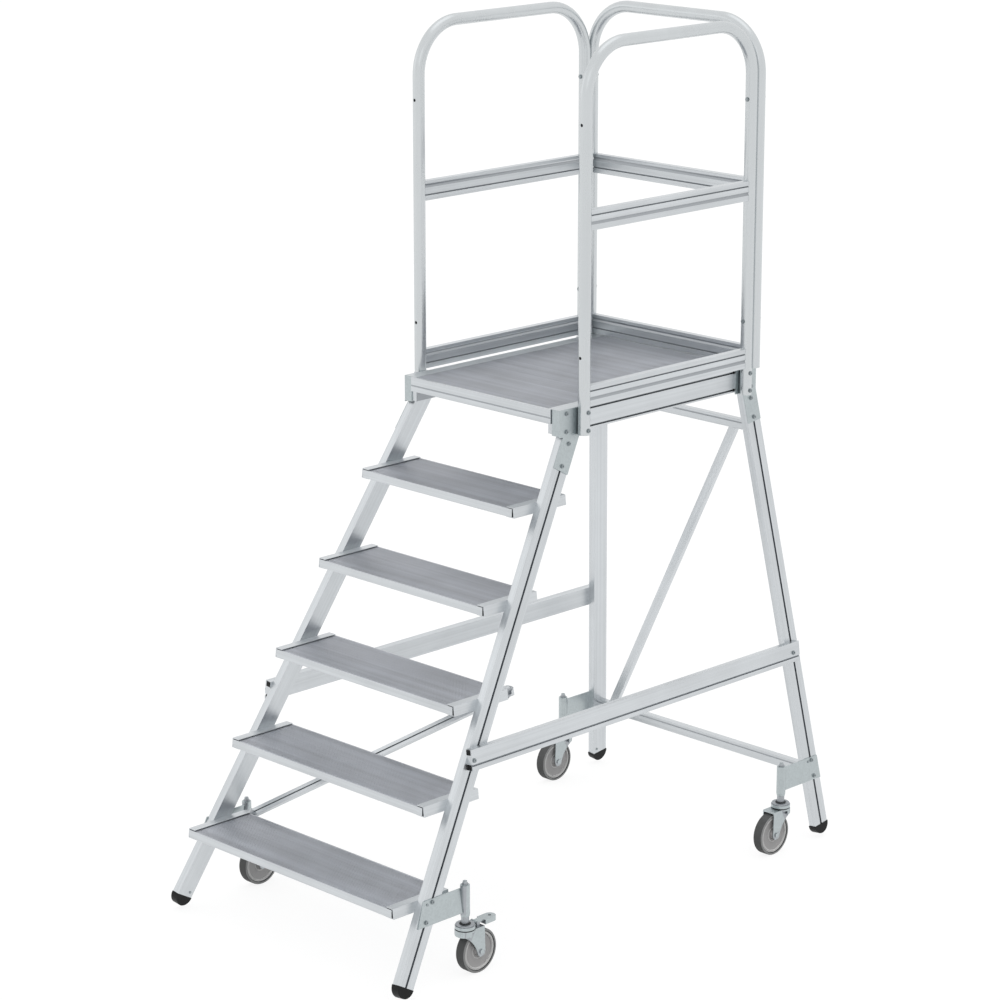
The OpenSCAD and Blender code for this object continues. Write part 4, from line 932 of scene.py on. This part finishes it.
@dataclass
class Studio:
    """Floor, lamps, background and camera."""

    eye: Point = (6.2608, -6.2811, 3.5522)
    azimuth: float = 45.08
    elevation: float = 15.34
    lens: float = 117.32
    floor_half: float = 40.0
    floor_glow: float = 0.86
    floor_colour: str = "#7a7a7a"
    surround_seen: float = 1.0
    surround_unseen: float = 0.93
    sensor: float = 36.0
    clip_end: float = 200.0
    lamps: Sequence[tuple[str, Point, Point, float, float]] = (
        ("key_softbox", (4.5, -5.5, 5.5), (0.0, 0.0, 1.2), 3.5, 8.0),
        ("left_softbox", (-5.5, -4.0, 3.5), (0.0, 0.0, 1.2), 3.5, 8.0),
        ("top_softbox", (0.0, 1.0, 7.0), (0.0, 0.0, 0.5), 4.0, 16.0),
    )

    def build(self) -> None:
        """Make the studio and set the scene's camera and view."""
        self.floor()
        self.background()
        for name, place, target, size, power in self.lamps:
            data = bpy.data.lights.new(name, "AREA")
            data.shape, data.size, data.energy = "SQUARE", size, power
            lamp = bpy.data.objects.new(name, data)
            lamp.location = place
            lamp.rotation_euler = (Vector(target) - Vector(place)).to_track_quat("-Z", "Y").to_euler()
            bpy.context.scene.collection.objects.link(lamp)
        self.camera()
        bpy.context.scene.view_settings.view_transform = "Standard"

    def seen(self, tree: bpy.types.NodeTree) -> bpy.types.NodeSocket:
        """Return a socket that is one for rays from the camera, a mirror or glass, and zero for the rest."""
        path = add(tree, "LightPath")
        first = add(
            tree,
            "Math",
            {0: path.outputs["Is Camera Ray"], 1: path.outputs["Is Glossy Ray"]},
            {"operation": "MAXIMUM"},
        )
        both = add(
            tree,
            "Math",
            {0: first.outputs[0], 1: path.outputs["Is Transmission Ray"]},
            {"operation": "MAXIMUM"},
        )
        return both.outputs[0]

    def floor(self) -> None:
        """Lay a pale floor that keeps a soft shadow and doesn't light the part from below."""
        shape = bmesh.new()
        bmesh.ops.create_grid(shape, x_segments=1, y_segments=1, size=self.floor_half)
        mesh = bpy.data.meshes.new("studio_floor")
        shape.to_mesh(mesh)
        shape.free()
        made = bpy.data.materials.new("studio_paper_white")
        made.use_nodes = True
        tree = made.node_tree
        tree.nodes.clear()
        paper = add(tree, "BsdfDiffuse", {"Color": srgb(self.floor_colour)})
        level = add(tree, "Math", {0: self.seen(tree), 1: self.floor_glow}, {"operation": "MULTIPLY"})
        glow = add(tree, "Emission", {"Strength": level.outputs[0]})
        total = add(tree, "AddShader", {0: paper.outputs[0], 1: glow.outputs[0]})
        add(tree, "OutputMaterial", {"Surface": total.outputs[0]})
        mesh.materials.append(made)
        floor = bpy.data.objects.new("studio_floor", mesh)
        bpy.context.scene.collection.objects.link(floor)

    def background(self) -> None:
        """Make a white surround for the camera and for reflections, and a dimmer one for other light."""
        world = bpy.data.worlds.new("studio_surround")
        bpy.context.scene.world = world
        world.use_nodes = True
        tree = world.node_tree
        tree.nodes.clear()
        level = add(
            tree,
            "MapRange",
            {"Value": self.seen(tree), "To Min": self.surround_unseen, "To Max": self.surround_seen},
        )
        sky = add(tree, "Background", {"Color": srgb("#ffffff"), "Strength": level.outputs["Result"]})
        add(tree, "OutputWorld", {"Surface": sky.outputs[0]})

    def camera(self) -> None:
        """Set the camera at the photograph's place and angle."""
        a, e = math.radians(self.azimuth), math.radians(self.elevation)
        back = Vector((math.sin(a) * math.cos(e), -math.cos(a) * math.cos(e), math.sin(e)))
        data = bpy.data.cameras.new("studio_camera")
        data.lens, data.sensor_width, data.clip_end = self.lens, self.sensor, self.clip_end
        camera = bpy.data.objects.new("studio_camera", data)
        camera.location = self.eye
        camera.rotation_euler = (-back).to_track_quat("-Z", "Y").to_euler()
        bpy.context.scene.collection.objects.link(camera)
        bpy.context.scene.camera = camera


def main() -> None:
    """Dress the solids, add the small pieces and set up the studio."""
    logging.basicConfig(level=logging.INFO, format="%(name)s %(message)s")
    Dressing().dress()
    Castors().build()
    Platform().build()
    Studio().build()


if __name__ == "__main__":
    main()
